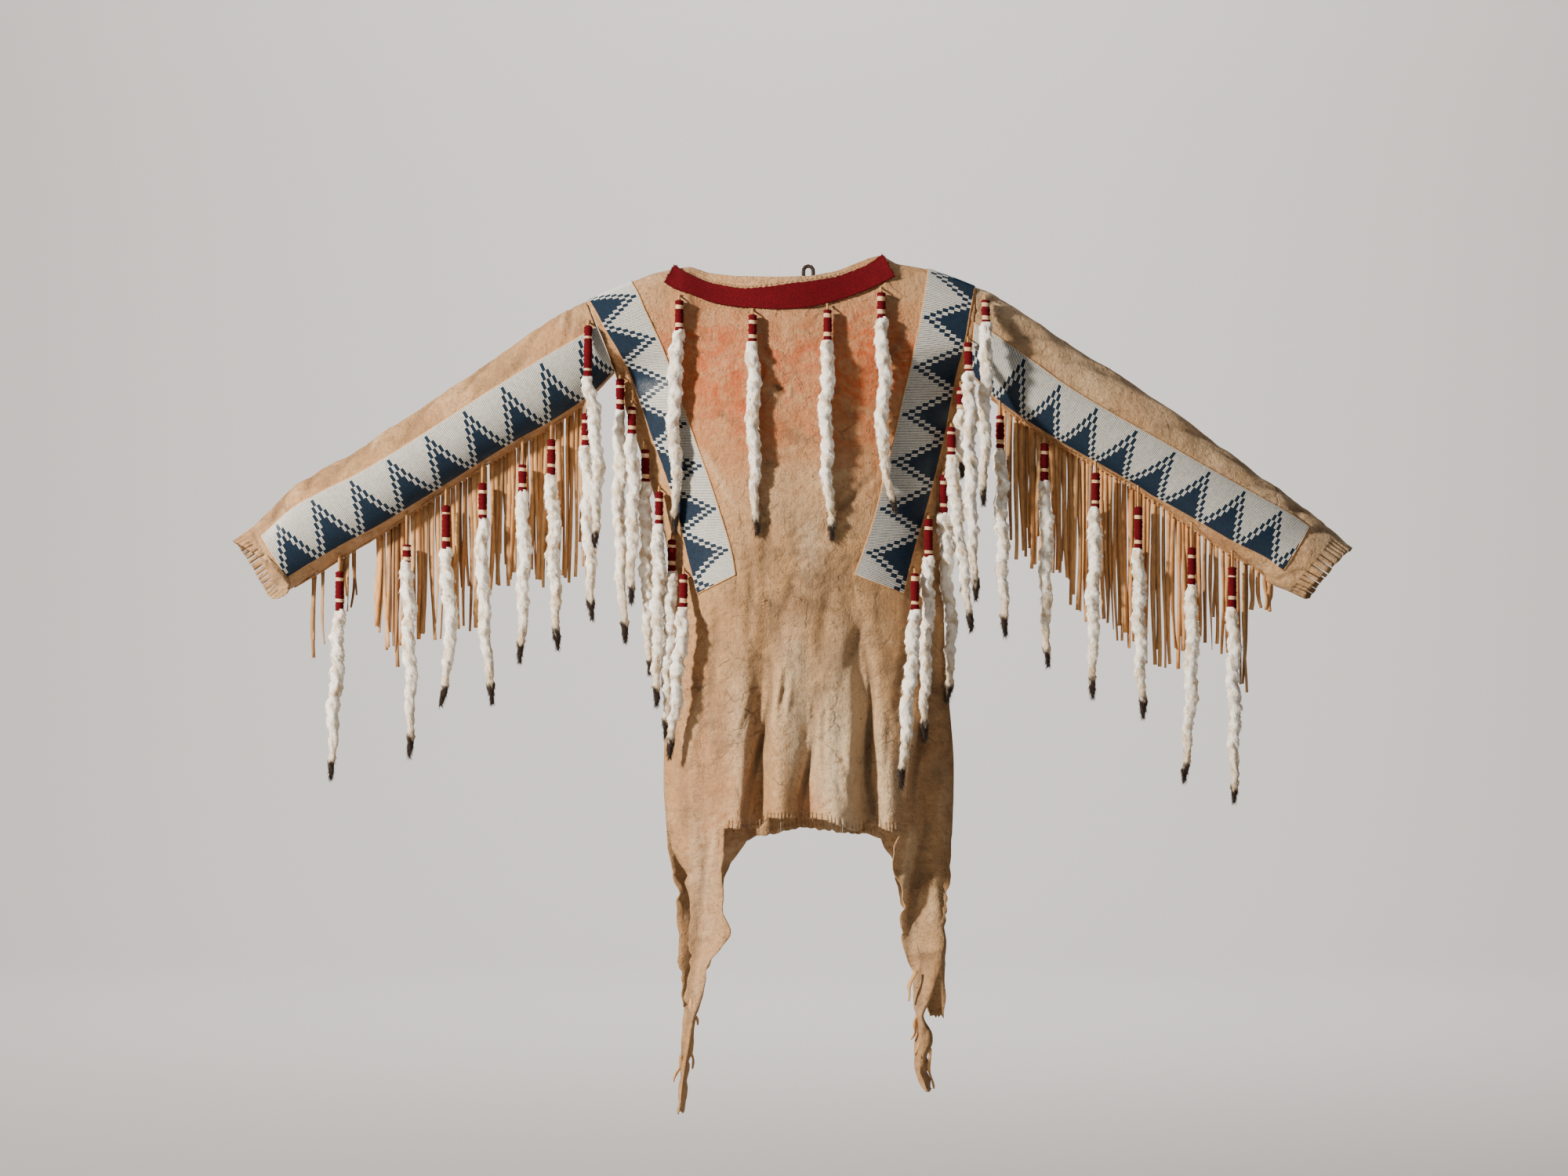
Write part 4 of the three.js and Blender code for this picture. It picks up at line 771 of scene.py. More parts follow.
# Creases of the sleeves: section number, degrees from the top round the front, slant in degrees,
# half length, half width and depth in millimetres, negative for a ridge
SLEEVE_CREASES = {
    "left": (
        (0.8, 25, 60, 60, 7, 3.5), (1.2, 45, 50, 50, 7, -2.6), (2.0, 30, 40, 60, 8, 3.0),
        (3.2, 22, 30, 70, 8, 2.8), (4.4, 28, 38, 60, 7, 3.2), (5.3, 20, 44, 55, 7, -2.6),
        (6.1, 26, 34, 60, 7, 3.2), (7.2, 24, 50, 45, 7, 3.0), (8.3, 26, 30, 50, 7, 3.2),
        (9.2, 40, 70, 50, 6, 3.0), (9.4, 120, 60, 50, 6, 3.0), (1.4, 250, 50, 60, 8, 3.4),
        (2.8, 290, -40, 70, 8, 3.0), (4.1, 240, 46, 70, 8, 3.4), (5.4, 280, -50, 60, 8, 3.0),
        (6.6, 230, 40, 60, 8, 3.2), (7.9, 270, 50, 60, 7, 3.0), (9.1, 250, -40, 50, 7, 3.0),
    ),
    "right": (
        (0.9, 28, -60, 60, 7, 3.5), (1.5, 42, -50, 55, 7, -2.6), (2.4, 30, -42, 65, 8, 3.2),
        (3.5, 32, -30, 70, 8, 3.0), (4.6, 28, -40, 60, 8, -2.4), (5.6, 24, -46, 60, 7, 3.2),
        (6.5, 22, -30, 55, 7, 3.0), (7.6, 20, -50, 45, 7, 3.0), (8.6, 22, -36, 45, 7, 3.2),
        (9.3, 36, -70, 45, 6, 3.0), (9.4, 118, -60, 50, 6, 3.0), (1.3, 245, -48, 60, 8, 3.4),
        (2.7, 285, 42, 70, 8, 3.0), (4.0, 238, -44, 70, 8, 3.4), (5.3, 282, 48, 60, 8, 3.0),
        (6.5, 236, -42, 60, 8, 3.2), (7.8, 272, -48, 60, 7, 3.0), (9.0, 248, 42, 50, 7, 3.0),
    ),
}
# About how long a section is and how wide a sleeve's radius, by which its creases are placed
SLEEVE_SPAN_MM, SLEEVE_ROUND_MM = 62, 57
# Between a sleeve's first ring and the body's hides, and how far the flat place under a strip
# reaches past it, in radians and in sections
ARMHOLE_GAP, STRIP_MARGIN = 0.5, 0.05
CUFF_SLIT_ROWS = 6
CUFF_SEEDS = {"left": 37, "right": 39}
# How much lower the strips lie than in SLEEVE_SECTIONS, and the lowest share that they reach
STRIP_LOWER = {"left": 0.065, "right": 0.07}
LOWEST_STRIP_SHARE = 0.965
# How soiled each sleeve is, the right one, which lies in shade, given little so that it is painted paler;
# and how strong the painted highlight along each sleeve's top is
SLEEVE_SOIL_AND_PAINTED_LIGHT = {"left": 0.6, "right": 0.12}
SLEEVE_TOP_HIGHLIGHT = {"left": 0.05, "right": 0.45}


def strip_angles(which, place):
    """The angles at which a sleeve's strip begins and ends, at each place along it."""
    sections = sleeve_sections(which)
    lower = STRIP_LOWER[which]
    top = curve_read(sections["strip_top"], place) + lower
    foot = np.minimum(curve_read(sections["strip_foot"], place) + lower, LOWEST_STRIP_SHARE)
    return np.arccos(1 - 2 * top), np.arccos(1 - 2 * foot)


def build_sleeve(which, sizes, material):
    """A sleeve as a tube of cloth with creases, a cut cuff, dirt, and painted shade and highlight by its
    creases and along its top.
    """
    last = len(SLEEVE_SECTIONS[which]) - 1
    rows, turns = round(sizes.sleeve_rows), round(sizes.sleeve_turns)
    place, angle = np.meshgrid(np.linspace(0, last, rows), np.linspace(0, math.tau, turns, endpoint=False),
                               indexing="ij")
    points = sleeve_surface(which, place, angle)
    outward = -1 if which == "left" else 1
    points[0, :, 0] += outward * ARMHOLE_GAP
    normals = turn_normals(points, closed=True)
    if which == "right":
        normals = -normals
    top, foot = strip_angles(which, place)
    under = (angle > top - STRIP_MARGIN) & (angle < foot + STRIP_MARGIN)
    under = under & (place < LAST_STRIP_SECTION + STRIP_MARGIN)
    free = 1.0 - under
    free = free * smooth_step(place * 3) * smooth_step((last - place) * 3)
    along, around = place * SLEEVE_SPAN_MM, np.degrees(angle)
    creases = [(section * SLEEVE_SPAN_MM, degrees / 180 * math.pi * SLEEVE_ROUND_MM, *rest)
               for section, degrees, *rest in SLEEVE_CREASES[which]]
    round_mm = around / 180 * math.pi * SLEEVE_ROUND_MM
    lift = crease_depth(creases, along, round_mm) + 1.3 * ripple(along, round_mm, 48, 17)
    lift = lift + 0.5 * ripple(along, round_mm * 1.5, 17, 19)
    points = points - normals * (lift * free)[..., None]
    cuts = flap_cuts(0, turns, CUFF_SEEDS[which])
    present = cut_flaps(points, cuts, CUFF_SLIT_ROWS, 41, normals[-CUFF_SLIT_ROWS:], SLIT_DRAWN["cuff"],
                        closed=True)
    x, down = points[..., 0].ravel(), -points[..., 2].ravel()
    # Painted highlight along the top of the sleeve, fading round towards its foot
    shade = smooth_step((np.cos(angle) + 0.4) / 1.4).ravel()
    stains = np.stack([0.2 * np.maximum(0, ripple(x, down, 160, 3)),
                       np.maximum(0, 0.4 * ripple(x, down, 90, 4) + SLEEVE_SOIL_AND_PAINTED_LIGHT[which]),
                       SLEEVE_TOP_HIGHLIGHT[which] * shade], axis=-1)
    faces = grid_faces(rows, turns, present, closed=True)
    if which == "left":
        faces = faces[:, ::-1]
    # Painted shade in the sleeve's creases and a painted highlight on its ridges, from how far each point is
    # pressed in or stands up
    worn = np.clip((lift * free).ravel() / 3, -1, 1) * 0.5 + 0.5
    piece = make_piece(f"sleeve_{which}_cloth", points, faces, [material],
                       values={"stains": stains, "worn": np.stack([worn, worn, worn], axis=-1)})
    thicken(piece, sizes.sleeve_thickness)
    return finish_piece(piece, "hide", f"sleeve_{which}")


# The beadwork. A zigzag runs along each strip: a peak and a valley are seven columns of two rows
# apart, a level is four beads high, and the dark side lies below the steps.
ROWS_PER_COLUMN = 2
COLUMNS_PER_TOOTH = 14
BEADS_PER_LEVEL = 4
PLAIN_BEADS = 2


def is_dark(row, bead, start_row):
    """Which beads are dark; bead 0 lies at the white edge."""
    column = np.floor((row - start_row) / ROWS_PER_COLUMN) + COLUMNS_PER_TOOTH / 2
    from_peak = np.abs(np.mod(column, COLUMNS_PER_TOOTH) - COLUMNS_PER_TOOTH / 2)
    level = np.floor((bead - PLAIN_BEADS) / BEADS_PER_LEVEL)
    return (level == from_peak) | (level >= from_peak + 2)


def bead_sheet(name, bed, rows, beads, start_row, sizes, materials, outward, replaced):
    """Beads as rows of domes on a bed of points, two cells to a bead each way, and the bed's rim."""
    count_r, count_c = bed.shape[:2]
    normals = turn_normals(bed) * outward
    r, c = np.meshgrid(np.arange(count_r), np.arange(count_c), indexing="ij")
    high_r, high_c = r % 2 == 1, c % 2 == 1
    height = np.where(high_r & high_c, 1.0, np.where(high_r, 0.7, np.where(high_c, 0.05, -0.1)))
    wander = 0.5 * ripple(r * 1.0, c * 1.0, 60, 41)
    top = bed + normals * (sizes.bead_lift + 0.25 * wander + height * sizes.bead_height)[..., None]
    jitter = np.random.default_rng(43).normal(0, 0.06, top.shape)
    top = top + jitter * high_r[..., None]
    faces = grid_faces(count_r, count_c)
    if outward > 0:
        faces = faces[:, ::-1]
    row_of, bead_of = (r[:-1, :-1] // 2).ravel(), (c[:-1, :-1] // 2).ravel()
    dark = is_dark(row_of, bead_of, start_row)
    source = np.random.default_rng(47)
    tone = source.normal(0, 1, (rows, beads))[row_of, bead_of]
    row_tone = source.normal(0, 1, rows)[row_of]
    colours = np.stack([dark.astype(float), 0.5 + 0.16 * tone, 0.5 + 0.2 * row_tone], axis=-1)
    # How far each point lies from the gaps between beads and rows, for painted shade in the gaps
    gap = np.where(high_r, np.where(high_c, 1.0, 0.62), 0.0)
    gap = np.stack([gap.ravel(), np.zeros(gap.size), np.zeros(gap.size)], axis=-1)
    under = bed + normals * (sizes.bead_lift - 0.5)
    edge = np.concatenate([np.arange(count_c), np.arange(1, count_r) * count_c + count_c - 1,
                           (count_r - 1) * count_c + np.arange(count_c - 2, -1, -1),
                           np.arange(count_r - 2, 0, -1) * count_c])
    size = count_r * count_c
    after = np.roll(edge, -1)
    rim = np.stack([edge, edge + size, after + size, after], axis=-1)
    if outward > 0:
        rim = rim[:, ::-1]
    points = np.concatenate([top.reshape(-1, 3), under.reshape(-1, 3)])
    material_of = np.concatenate([np.zeros(len(faces)), np.ones(len(rim))])
    rim_colour = np.tile((0.0, 0.5, 0.5), (len(rim), 1))
    piece = make_piece(name, points, np.concatenate([faces, rim]), materials, material_of,
                       values={"gap": np.concatenate([gap, gap])},
                       colours={"bead": np.concatenate([colours, rim_colour])})
    return finish_piece(piece, "beads", *replaced)


WELT_RADIUS, WELT_AROUND = 1.25, 6


def build_welt(name, bed, outward, material):
    """The strip's hide edge that shows beside the beads: a thin roll along each side and end."""
    normals = turn_normals(bed) * outward
    lines = (bed[:, 0] + normals[:, 0] * 0.5, bed[:, -1] + normals[:, -1] * 0.5,
             bed[0] + normals[0] * 0.5, bed[-1] + normals[-1] * 0.5)
    heap = Heap()
    for number, line in enumerate(lines):
        step = np.arange(len(line)) * 1.0
        radius = WELT_RADIUS * (1 + 0.16 * ripple(step, step * 0, 7, 81 + number))
        heap.add(rope(line[::2], radius[::2]), value=(0.35, 0.75, 0))
    return finish_piece(heap.make(name, [material], "tone"), "thong")


def rope(line, radius):
    """A round tube along a line of points."""
    run = np.gradient(line, axis=0)
    run /= np.maximum(np.linalg.norm(run, axis=1, keepdims=True), 1e-9)
    side = np.cross(run, (0.31, 0.87, 0.38))
    side /= np.maximum(np.linalg.norm(side, axis=1, keepdims=True), 1e-9)
    other = np.cross(run, side)
    angle = np.linspace(0, math.tau, WELT_AROUND, endpoint=False)
    ring = side[:, None] * np.cos(angle)[:, None] + other[:, None] * np.sin(angle)[:, None]
    return closed_tube(line[:, None] + ring * np.asarray(radius)[:, None, None])


def shoulder_bed(which, across):
    """Rows of points under a shoulder strip, up the front and down the back."""
    columns = 1 + STRIP_COLUMNS * across
    if which == "right":
        columns = LAST_COLUMN - columns
    front, back = (hide_main_rows(side, columns)[:STRIP_ROW + 1] for side in ("front", "back"))
    crown = front[0].copy()
    crown[:, 1] = 0
    return np.concatenate([front[:0:-1], crown[None], back[1:]])


# Added to a point's distance where it lies on the back
NOT_IN_FRONT = 1e3


def nearest_row(bed, target_x, target_z, column):
    """The row whose point in a column lies nearest a point of the front view, on the front side."""
    x, y, z = bed[:, column].T
    near = np.hypot(x - target_x, z - target_z) + NOT_IN_FRONT * (y > 0)
    return int(np.argmin(near))


# Where one dark tooth's point lies in the front view, from which the zigzag is counted
SHOULDER_TIPS = {"left": (-157, -290), "right": (136, -215)}
SLEEVE_TIPS = {"left": (-431, -177), "right": (466, -232)}
# The pitch of the rows on the shoulders, and on the sleeves as a share of the bead row pitch
SHOULDER_PITCH = {"left": 2.3, "right": 2.49}
SLEEVE_PITCH_SHARE = {"left": 1.0, "right": 0.951}
# How far a sleeve strip's rows lean, in sections, and over how many sections this begins and ends
ROW_LEAN = {"left": 0.27, "right": 0.2}
END_SECTIONS = 1.6


def build_shoulder_strip(which, sizes, materials):
    """The beaded strip over a shoulder, its rows square to the strip."""
    beads = round(sizes.beads_across)
    across = np.linspace(1, 0, 2 * beads + 1)
    coarse = shoulder_bed(which, across)
    places, _ = even_places(coarse[:, beads], SHOULDER_PITCH[which])
    rows = len(places) - 1
    places = np.interp(np.arange(2 * rows + 1) / 2, np.arange(rows + 1), places)
    bed = resample(coarse, places)
    start_row = nearest_row(bed, *SHOULDER_TIPS[which], 0) // 2
    outward = 1 if which == "left" else -1
    build_welt(f"welt_shoulder_{which}", bed, outward, materials[2])
    return bead_sheet(f"beads_shoulder_{which}", bed, rows, beads, start_row, sizes, materials[:2], outward,
                      [f"shoulder_strip_{which}"])


def build_sleeve_strip(which, sizes, materials):
    """The beaded strip along a sleeve, its rows leaning between square ends."""
    beads = round(sizes.beads_across)
    coarse_place = np.linspace(0, LAST_STRIP_SECTION, 46)
    across = np.linspace(0, 1, 2 * beads + 1)
    from_ends = np.minimum(coarse_place, LAST_STRIP_SECTION - coarse_place) / END_SECTIONS
    square = ROW_LEAN[which] * smooth_step(from_ends)
    place = coarse_place[:, None] - square[:, None] * (across - 0.5)
    top, foot = strip_angles(which, place)
    coarse = sleeve_surface(which, place, top + (foot - top) * across)
    places, _ = even_places(coarse[:, beads], sizes.bead_pitch * SLEEVE_PITCH_SHARE[which])
    rows = len(places) - 1
    places = np.interp(np.arange(2 * rows + 1) / 2, np.arange(rows + 1), places)
    bed = resample(coarse, places)
    start_row = nearest_row(bed, *SLEEVE_TIPS[which], 0) // 2
    outward = 1 if which == "left" else -1
    build_welt(f"welt_sleeve_{which}", bed, outward, materials[2])
    return bead_sheet(f"beads_sleeve_{which}", bed, rows, beads, start_row, sizes, materials[:2], outward,
                      [f"sleeve_strip_{which}"])


# The red wool band round the neck's front edge: x and z along its upper and its lower edge
BAND_TOP = ((-191, 5), (-176, -6), (-147, -20), (-110, -29), (-77, -31), (-21, -24), (32, -16), (77, 0),
            (106, 19))
BAND_FOOT = ((-205, -22), (-190, -31), (-169, -39), (-124, -54), (-57, -61), (-3, -59), (50, -46), (95, -28),
             (123, -14))
BAND_LENGTHWAYS, BAND_CROSSWAYS = 170, 26
# The band bridges hollows of the hide over this many points to each side
BAND_EASE = 20


def level_of(x, z):
    """How far down a point of the front view lies on a hide."""
    top = top_line(x)
    return np.maximum(0.3, (top - z) / (1 + top / ARMHOLE_DROP))


def on_front(x, z, lift):
    """Points that lie on the front hide, lifted off it, by where they are seen."""
    depth = hide_depth("front", x, level_of(x, z))
    return np.stack([x, -(np.maximum(depth, 3) + lift), z], axis=-1)


def run_mean(values, half):
    """The mean over the neighbours along each row."""
    wide = np.pad(values, ((0, 0), (half, half)), mode="edge")
    return np.mean([wide[:, k:k + values.shape[1]] for k in range(2 * half + 1)], axis=0)


def build_neck_band(sizes, material):
    """The red wool band and the loose fibres along its edges."""
    along = np.linspace(0, 1, BAND_LENGTHWAYS)
    over = np.linspace(0, 1, BAND_CROSSWAYS)[:, None]
    edges = []
    for edge in (BAND_TOP, BAND_FOOT):
        table_x, table_z = (np.array(values, dtype=float) for values in zip(*edge))
        place = along * (len(edge) - 1)
        edges.append((curve_read(table_x, place), curve_read(table_z, place)))
    x = edges[0][0] + (edges[1][0] - edges[0][0]) * over
    z = edges[0][1] + (edges[1][1] - edges[0][1]) * over
    rim = np.abs(2 * over - 1) ** 24
    z = z + 0.9 * ripple(x, x * 0, 5, 63) * rim
    x = x + 1.6 * ripple(z, z * 0, 4, 65) * np.abs(2 * along - 1) ** 80
    lift = 2.4 + 0.5 * ripple(x, z * 2, 60, 61)
    points = on_front(x, z, lift)
    bridged = np.minimum(points[..., 1], run_mean(points[..., 1], BAND_EASE))
    points[..., 1] = run_mean(bridged, BAND_EASE // 2) - 1.2
    faces = grid_faces(BAND_CROSSWAYS, BAND_LENGTHWAYS)[:, ::-1]
    band = make_piece("neck_band_wool", points, faces, [material])
    thicken(band, sizes.wool_thickness)
    finish_piece(band, "wool", "neck_band")
    fibres = hair_cards(edge_roots(points, sizes.nap_hairs, 67), 2.6, 0.13, 71)
    nap = make_piece("neck_band_nap", *fibres, [material])
    finish_piece(nap, "wool")
    return band, nap


def edge_roots(points, count, seed):
    """Roots and directions of loose fibres, most of them along a piece's edges."""
    source = np.random.default_rng(seed)
    rows, columns = points.shape[:2]
    r, c = source.integers(0, rows, count), source.integers(0, columns, count)
    choice = source.random(count)
    r = np.where(choice < 0.36, 0, np.where(choice < 0.78, rows - 1, r))
    c = np.where((choice > 0.78) & (choice < 0.88), 0, np.where(choice > 0.9, columns - 1, c))
    roots = points[r, c]
    away = np.zeros_like(roots)
    away[:, 2] = np.where(r == 0, 1, np.where(r == rows - 1, -1, 0))
    away[:, 0] = np.where(c == 0, -1, np.where(c == columns - 1, 1, 0))
    away[:, 1] = -0.6
    away += source.normal(0, 0.55, roots.shape)
    return roots, away / np.linalg.norm(away, axis=1, keepdims=True)


def hair_cards(root_data, length, width, seed):
    """Short hairs as narrow two-sided triangles that stand on their roots."""
    roots, away = root_data
    source = np.random.default_rng(seed)
    side = np.cross(away, source.normal(0, 1, roots.shape))
    side /= np.maximum(np.linalg.norm(side, axis=1, keepdims=True), 1e-6)
    reach = length * source.uniform(0.35, 1, (len(roots), 1))
    tips = roots + away * reach
    points = np.stack([roots - side * width, roots + side * width, tips], axis=1).reshape(-1, 3)
    index = np.arange(len(roots)) * 3
    return points, np.stack([index, index + 1, index + 2], axis=-1)


# Fringe, drops and stitches
def seam_height(which, x):
    """The height of a sleeve's lower seam at an x."""
    sections = sleeve_sections(which)
    order = np.argsort(sections["foot_x"])
    return float(np.interp(x, sections["foot_x"][order], sections["foot_z"][order]))


def ribbon(line, widths, thickness, turns):
    """A flat thong along a line of points, turned about its run by an angle at every point."""
    line = np.asarray(line, dtype=float)
    run = np.gradient(line, axis=0)
    run /= np.maximum(np.linalg.norm(run, axis=1, keepdims=True), 1e-9)
    face = np.stack([np.cos(turns), np.sin(turns), np.zeros_like(turns)], axis=-1)
    face -= run * (face * run).sum(axis=1, keepdims=True)
    thin = np.cross(run, face)
    half = np.asarray(widths)[:, None] / 2
    signs = ((-1, -1), (1, -1), (1, 1), (-1, 1))
    corners = [line + face * half * a + thin * thickness / 2 * b for a, b in signs]
    return closed_tube(np.stack(corners, axis=1))


def closed_tube(rings):
    """Points and faces of a closed tube through rings, rows x around x 3, with its ends shut."""
    rows, around = rings.shape[:2]
    faces = grid_faces(rows, around, closed=True)
    points = np.concatenate([rings.reshape(-1, 3), rings[0].mean(0)[None], rings[-1].mean(0)[None]])
    first = np.arange(around)
    after = (first + 1) % around
    head, foot = rows * around, rows * around + 1
    last_ring = (rows - 1) * around
    caps = [np.stack([after, first, np.full(around, head)], axis=-1),
            np.stack([first + last_ring, after + last_ring, np.full(around, foot)], axis=-1)]
    return points, [faces, np.concatenate(caps)]


class Heap:
    """Collects points and faces of many small shapes into one mesh."""

    def __init__(self):
        self.points, self.quads, self.triangles = [], [], []
        self.quad_material, self.triangle_material, self.values = [], [], []
        self.size = 0

    def add(self, shape, material=0, value=(0, 0, 0)):
        points, faces = shape
        for part in faces if isinstance(faces, list) else [faces]:
            part = np.asarray(part)
            kind = (self.quads, self.quad_material) if part.shape[1] == 4 else (self.triangles,
                                                                                self.triangle_material)
            kind[0].append(part + self.size)
            kind[1].append(np.full(len(part), material))
        value = np.asarray(value, dtype=float)
        self.values.append(value if value.ndim == 2 else np.tile(value, (len(points), 1)))
        self.points.append(points)
        self.size += len(points)

    def make(self, name, materials, attribute):
        faces = [np.concatenate(kind) for kind in (self.quads, self.triangles) if kind]
        chosen = np.concatenate(self.quad_material + self.triangle_material)
        return make_piece(name, np.concatenate(self.points), faces, materials, chosen,
                          values={attribute: np.concatenate(self.values)})


# How many strands have a second one, how far behind it hangs, and how far the strands' heads lie
# below the sleeve's foot line
SECOND_STRAND_SHARE, SECOND_STRAND_BEHIND = 0.6, 3.2
SEAM_DROP = 1.2
# The strip that the strands are sewn to: from which sleeve section to which, and its sizes
SEWN_SECTIONS, SEWN_POINTS = (1, 9), 90
SEWN_WIDTH, SEWN_THICKNESS = 6, 2.2
STRAND_POINTS, STRAND_THICKNESS = 15, 1.1
FRINGE_SEEDS = {"left": 101, "right": 103}


def build_fringe(which, material):
    """A sleeve's fringe: the sewn strip, its strands with knots, and second strands behind some."""
    heap = Heap()
    sections = sleeve_sections(which)
    source = random.Random(FRINGE_SEEDS[which])
    place = np.linspace(*SEWN_SECTIONS, SEWN_POINTS)
    line = np.stack([curve_read(sections["foot_x"], place), place * 0,
                     curve_read(sections["foot_z"], place) - SEAM_DROP], axis=-1)
    line[:, 2] += 0.5 * ripple(line[:, 0], line[:, 0] * 0, 14, 107)
    widths = SEWN_WIDTH + 0.8 * ripple(place * 40, place, 18, 109)
    turns = np.full(SEWN_POINTS, math.pi / 2)
    heap.add(ribbon(line, widths, SEWN_THICKNESS, turns), value=(0.25, 0.8, 0))
    for first, last, length_a, length_b, count in FRINGE_RUNS[which]:
        for i in range(count):
            share = i / max(1, count - 1)
            x = first + (last - first) * share + source.uniform(-0.6, 0.6)
            length = (length_a + (length_b - length_a) * share) * source.uniform(0.86, 1)
            tone = (source.random(), source.random(), 0)
            heap.add(fringe_strand(which, x, length, source), value=tone)
            heap.add(knot(x, seam_height(which, x) - SEAM_DROP, source), value=(0.2, 0.85, 0))
            if source.random() < SECOND_STRAND_SHARE:
                tone = (source.random(), source.random(), 0)
                aside, shorter = source.uniform(-3, 3), source.uniform(0.7, 0.97)
                strand = fringe_strand(which, x + aside, length * shorter, source, SECOND_STRAND_BEHIND)
                heap.add(strand, value=tone)
    piece = heap.make(f"fringe_{which}", [material], "tone")
    return finish_piece(piece, "thong", f"sleeve_fringe_{which}")


def knot(x, z, source):
    """The lump where a strand is drawn through the seam."""
    levels = np.linspace(0, 1, 6)
    line = np.stack([x + levels * 0, -1.2 + 0 * levels, z + 3.5 - levels * source.uniform(6, 9)], axis=-1)
    return rope(line, source.uniform(2.1, 3.0) * np.array([0.5, 0.95, 1.0, 0.75, 0.9, 0.4]))


def fringe_strand(which, x, length, source, behind=0):
    """One strand: it sways, kinks and twists as it hangs."""
    levels = np.linspace(0, 1, STRAND_POINTS)
    top = seam_height(which, x) - SEAM_DROP
    phase, turn = source.uniform(0, math.tau), source.gauss(0, 0.3)
    kink = source.uniform(0.3, 0.8)
    sway = levels * (2.6 * np.sin(phase + levels * 4) + source.uniform(-3, 3))
    sway = sway + source.gauss(0, 3) * np.maximum(0, levels - kink)
    depth = behind + 1.8 * levels * np.cos(phase + levels * 5)
    line = np.stack([x + sway, depth, top - length * levels], axis=-1)
    width = source.uniform(5.2, 8.4) * (1 - 0.25 * levels) * (1 + 0.12 * np.sin(phase + levels * 9))
    twist = turn + levels * source.gauss(0, 0.8)
    return ribbon(line, width, STRAND_THICKNESS, twist)


def drop_stations(node):
    """Middle points and radii of an ermine drop's solid, from its head to the tail's tip."""
    seen = np.array([vertex.co for vertex in node.data.vertices]) / MM
    heights = np.unique(np.round(seen[:, 2], 1))[::-1]
    groups = []
    for height in heights:
        if not groups or groups[-1][-1] - height > 0.25:
            groups.append([height])
        else:
            groups[-1].append(height)
    stations = []
    for group in groups:
        ring = seen[(seen[:, 2] <= group[0] + 0.06) & (seen[:, 2] >= group[-1] - 0.06)]
        ring = np.unique(np.round(ring, 2), axis=0)
        middle = (ring.min(0) + ring.max(0)) / 2
        stations.append((*middle, np.ptp(ring[:, 1]) / 2))
    return np.array(stations)


# A drop's stations where its wrap and its fur begin
WRAP_STATION, FUR_STATION = 2, 4
THONG_POINTS, THONG_WIDTH, THONG_THICKNESS = 9, 3.6, 1.6
WRAP_ROWS, WRAP_AROUND, WRAP_RADIUS = 26, 14, 6.0
WRAP_FIBRES, WRAP_FIBRE_RADIUS = 90, 5.9
# Points round the fur, millimetres between its rows, and its mean stand-out as a share of its radius
FUR_AROUND, FUR_PITCH, FUR_STAND = 18, 3.0, 0.9
# The length in millimetres for which the Fur hairs setting is given
FUR_HAIRS_OVER = 250
TAIL_LENGTH, TAIL_RADIUS = 32, 6.6


def build_drop(name, node, sizes, materials, seed):
    """An ermine drop: hide thong, red wool wrap with two pale bands, twisted fur and dark tail."""
    source = np.random.default_rng(seed)
    stations = drop_stations(node)
    heap = Heap()
    wrap_top, wrap_foot = stations[WRAP_STATION], stations[WRAP_STATION + 1]
    thong = np.array([*stations[:2, :3], wrap_top[:3] + (0, 0, 2), wrap_top[:3] + (0, 0, -4)])
    thong = resample(thong[:, None], np.linspace(0, 3, THONG_POINTS))[:, 0]
    turns = np.linspace(0.2, 0.9, THONG_POINTS)
    heap.add(ribbon(thong, np.full(THONG_POINTS, THONG_WIDTH), THONG_THICKNESS, turns), 0, (0.4, 0.5, 0))
    add_wrap(heap, wrap_top, wrap_foot, source)
    path = stations[FUR_STATION:]
    path = np.concatenate([[[*wrap_foot[:3] + (0, 0, 4), path[0, 3] * 0.75]], path])
    add_fur(heap, path, sizes, source)
    piece = heap.make(name, materials, "tone")
    return finish_piece(piece, "fur", node.name)


def add_wrap(heap, top, foot, source):
    """The red wool wrap with two pale bands and a nap of short fibres."""
    share = np.linspace(0, 1, WRAP_ROWS)
    angle = np.linspace(0, math.tau, WRAP_AROUND, endpoint=False)
    bands = sorted(source.uniform((0.14, 0.66), (0.26, 0.84)))
    height = abs(top[2] - foot[2])
    radius = WRAP_RADIUS + 0.35 * np.sin(share * height / 1.1) + 0.25 * source.normal(0, 1, WRAP_ROWS)
    radius[[0, -1]] *= 0.55
    is_band = np.zeros(WRAP_ROWS, dtype=bool)
    for middle in bands:
        is_band |= np.abs(share - middle) < 3.4 / height
    radius = np.where(is_band, radius * 0.93, radius)
    middle = top[:3] + (foot[:3] - top[:3]) * share[:, None]
    ring = np.stack([np.cos(angle), np.sin(angle), 0.05 * np.sin(angle * 2)], axis=-1)
    rings = middle[:, None] + ring[None] * radius[:, None, None]
    points, faces = closed_tube(rings)
    band_cell = np.repeat(is_band[:-1] & is_band[1:], WRAP_AROUND)
    quads = faces[0]
    heap.add((points, [quads[~band_cell], faces[1]]), 1, (source.random(), 0.5, 0))
    heap.add((points, [quads[band_cell]]), 2, (source.random(), 0.5, 0))
    share = source.uniform(0.02, 0.98, WRAP_FIBRES)
    turn = source.uniform(0, math.tau, WRAP_FIBRES)
    out = np.stack([np.cos(turn), np.sin(turn), source.normal(0, 0.5, WRAP_FIBRES)], axis=-1)
    roots = top[:3] + (foot[:3] - top[:3]) * share[:, None] + out * WRAP_FIBRE_RADIUS
    heap.add(hair_cards((roots, out), 1.8, 0.14, int(source.integers(1e6))), 1, (0.3, 0.5, 0))


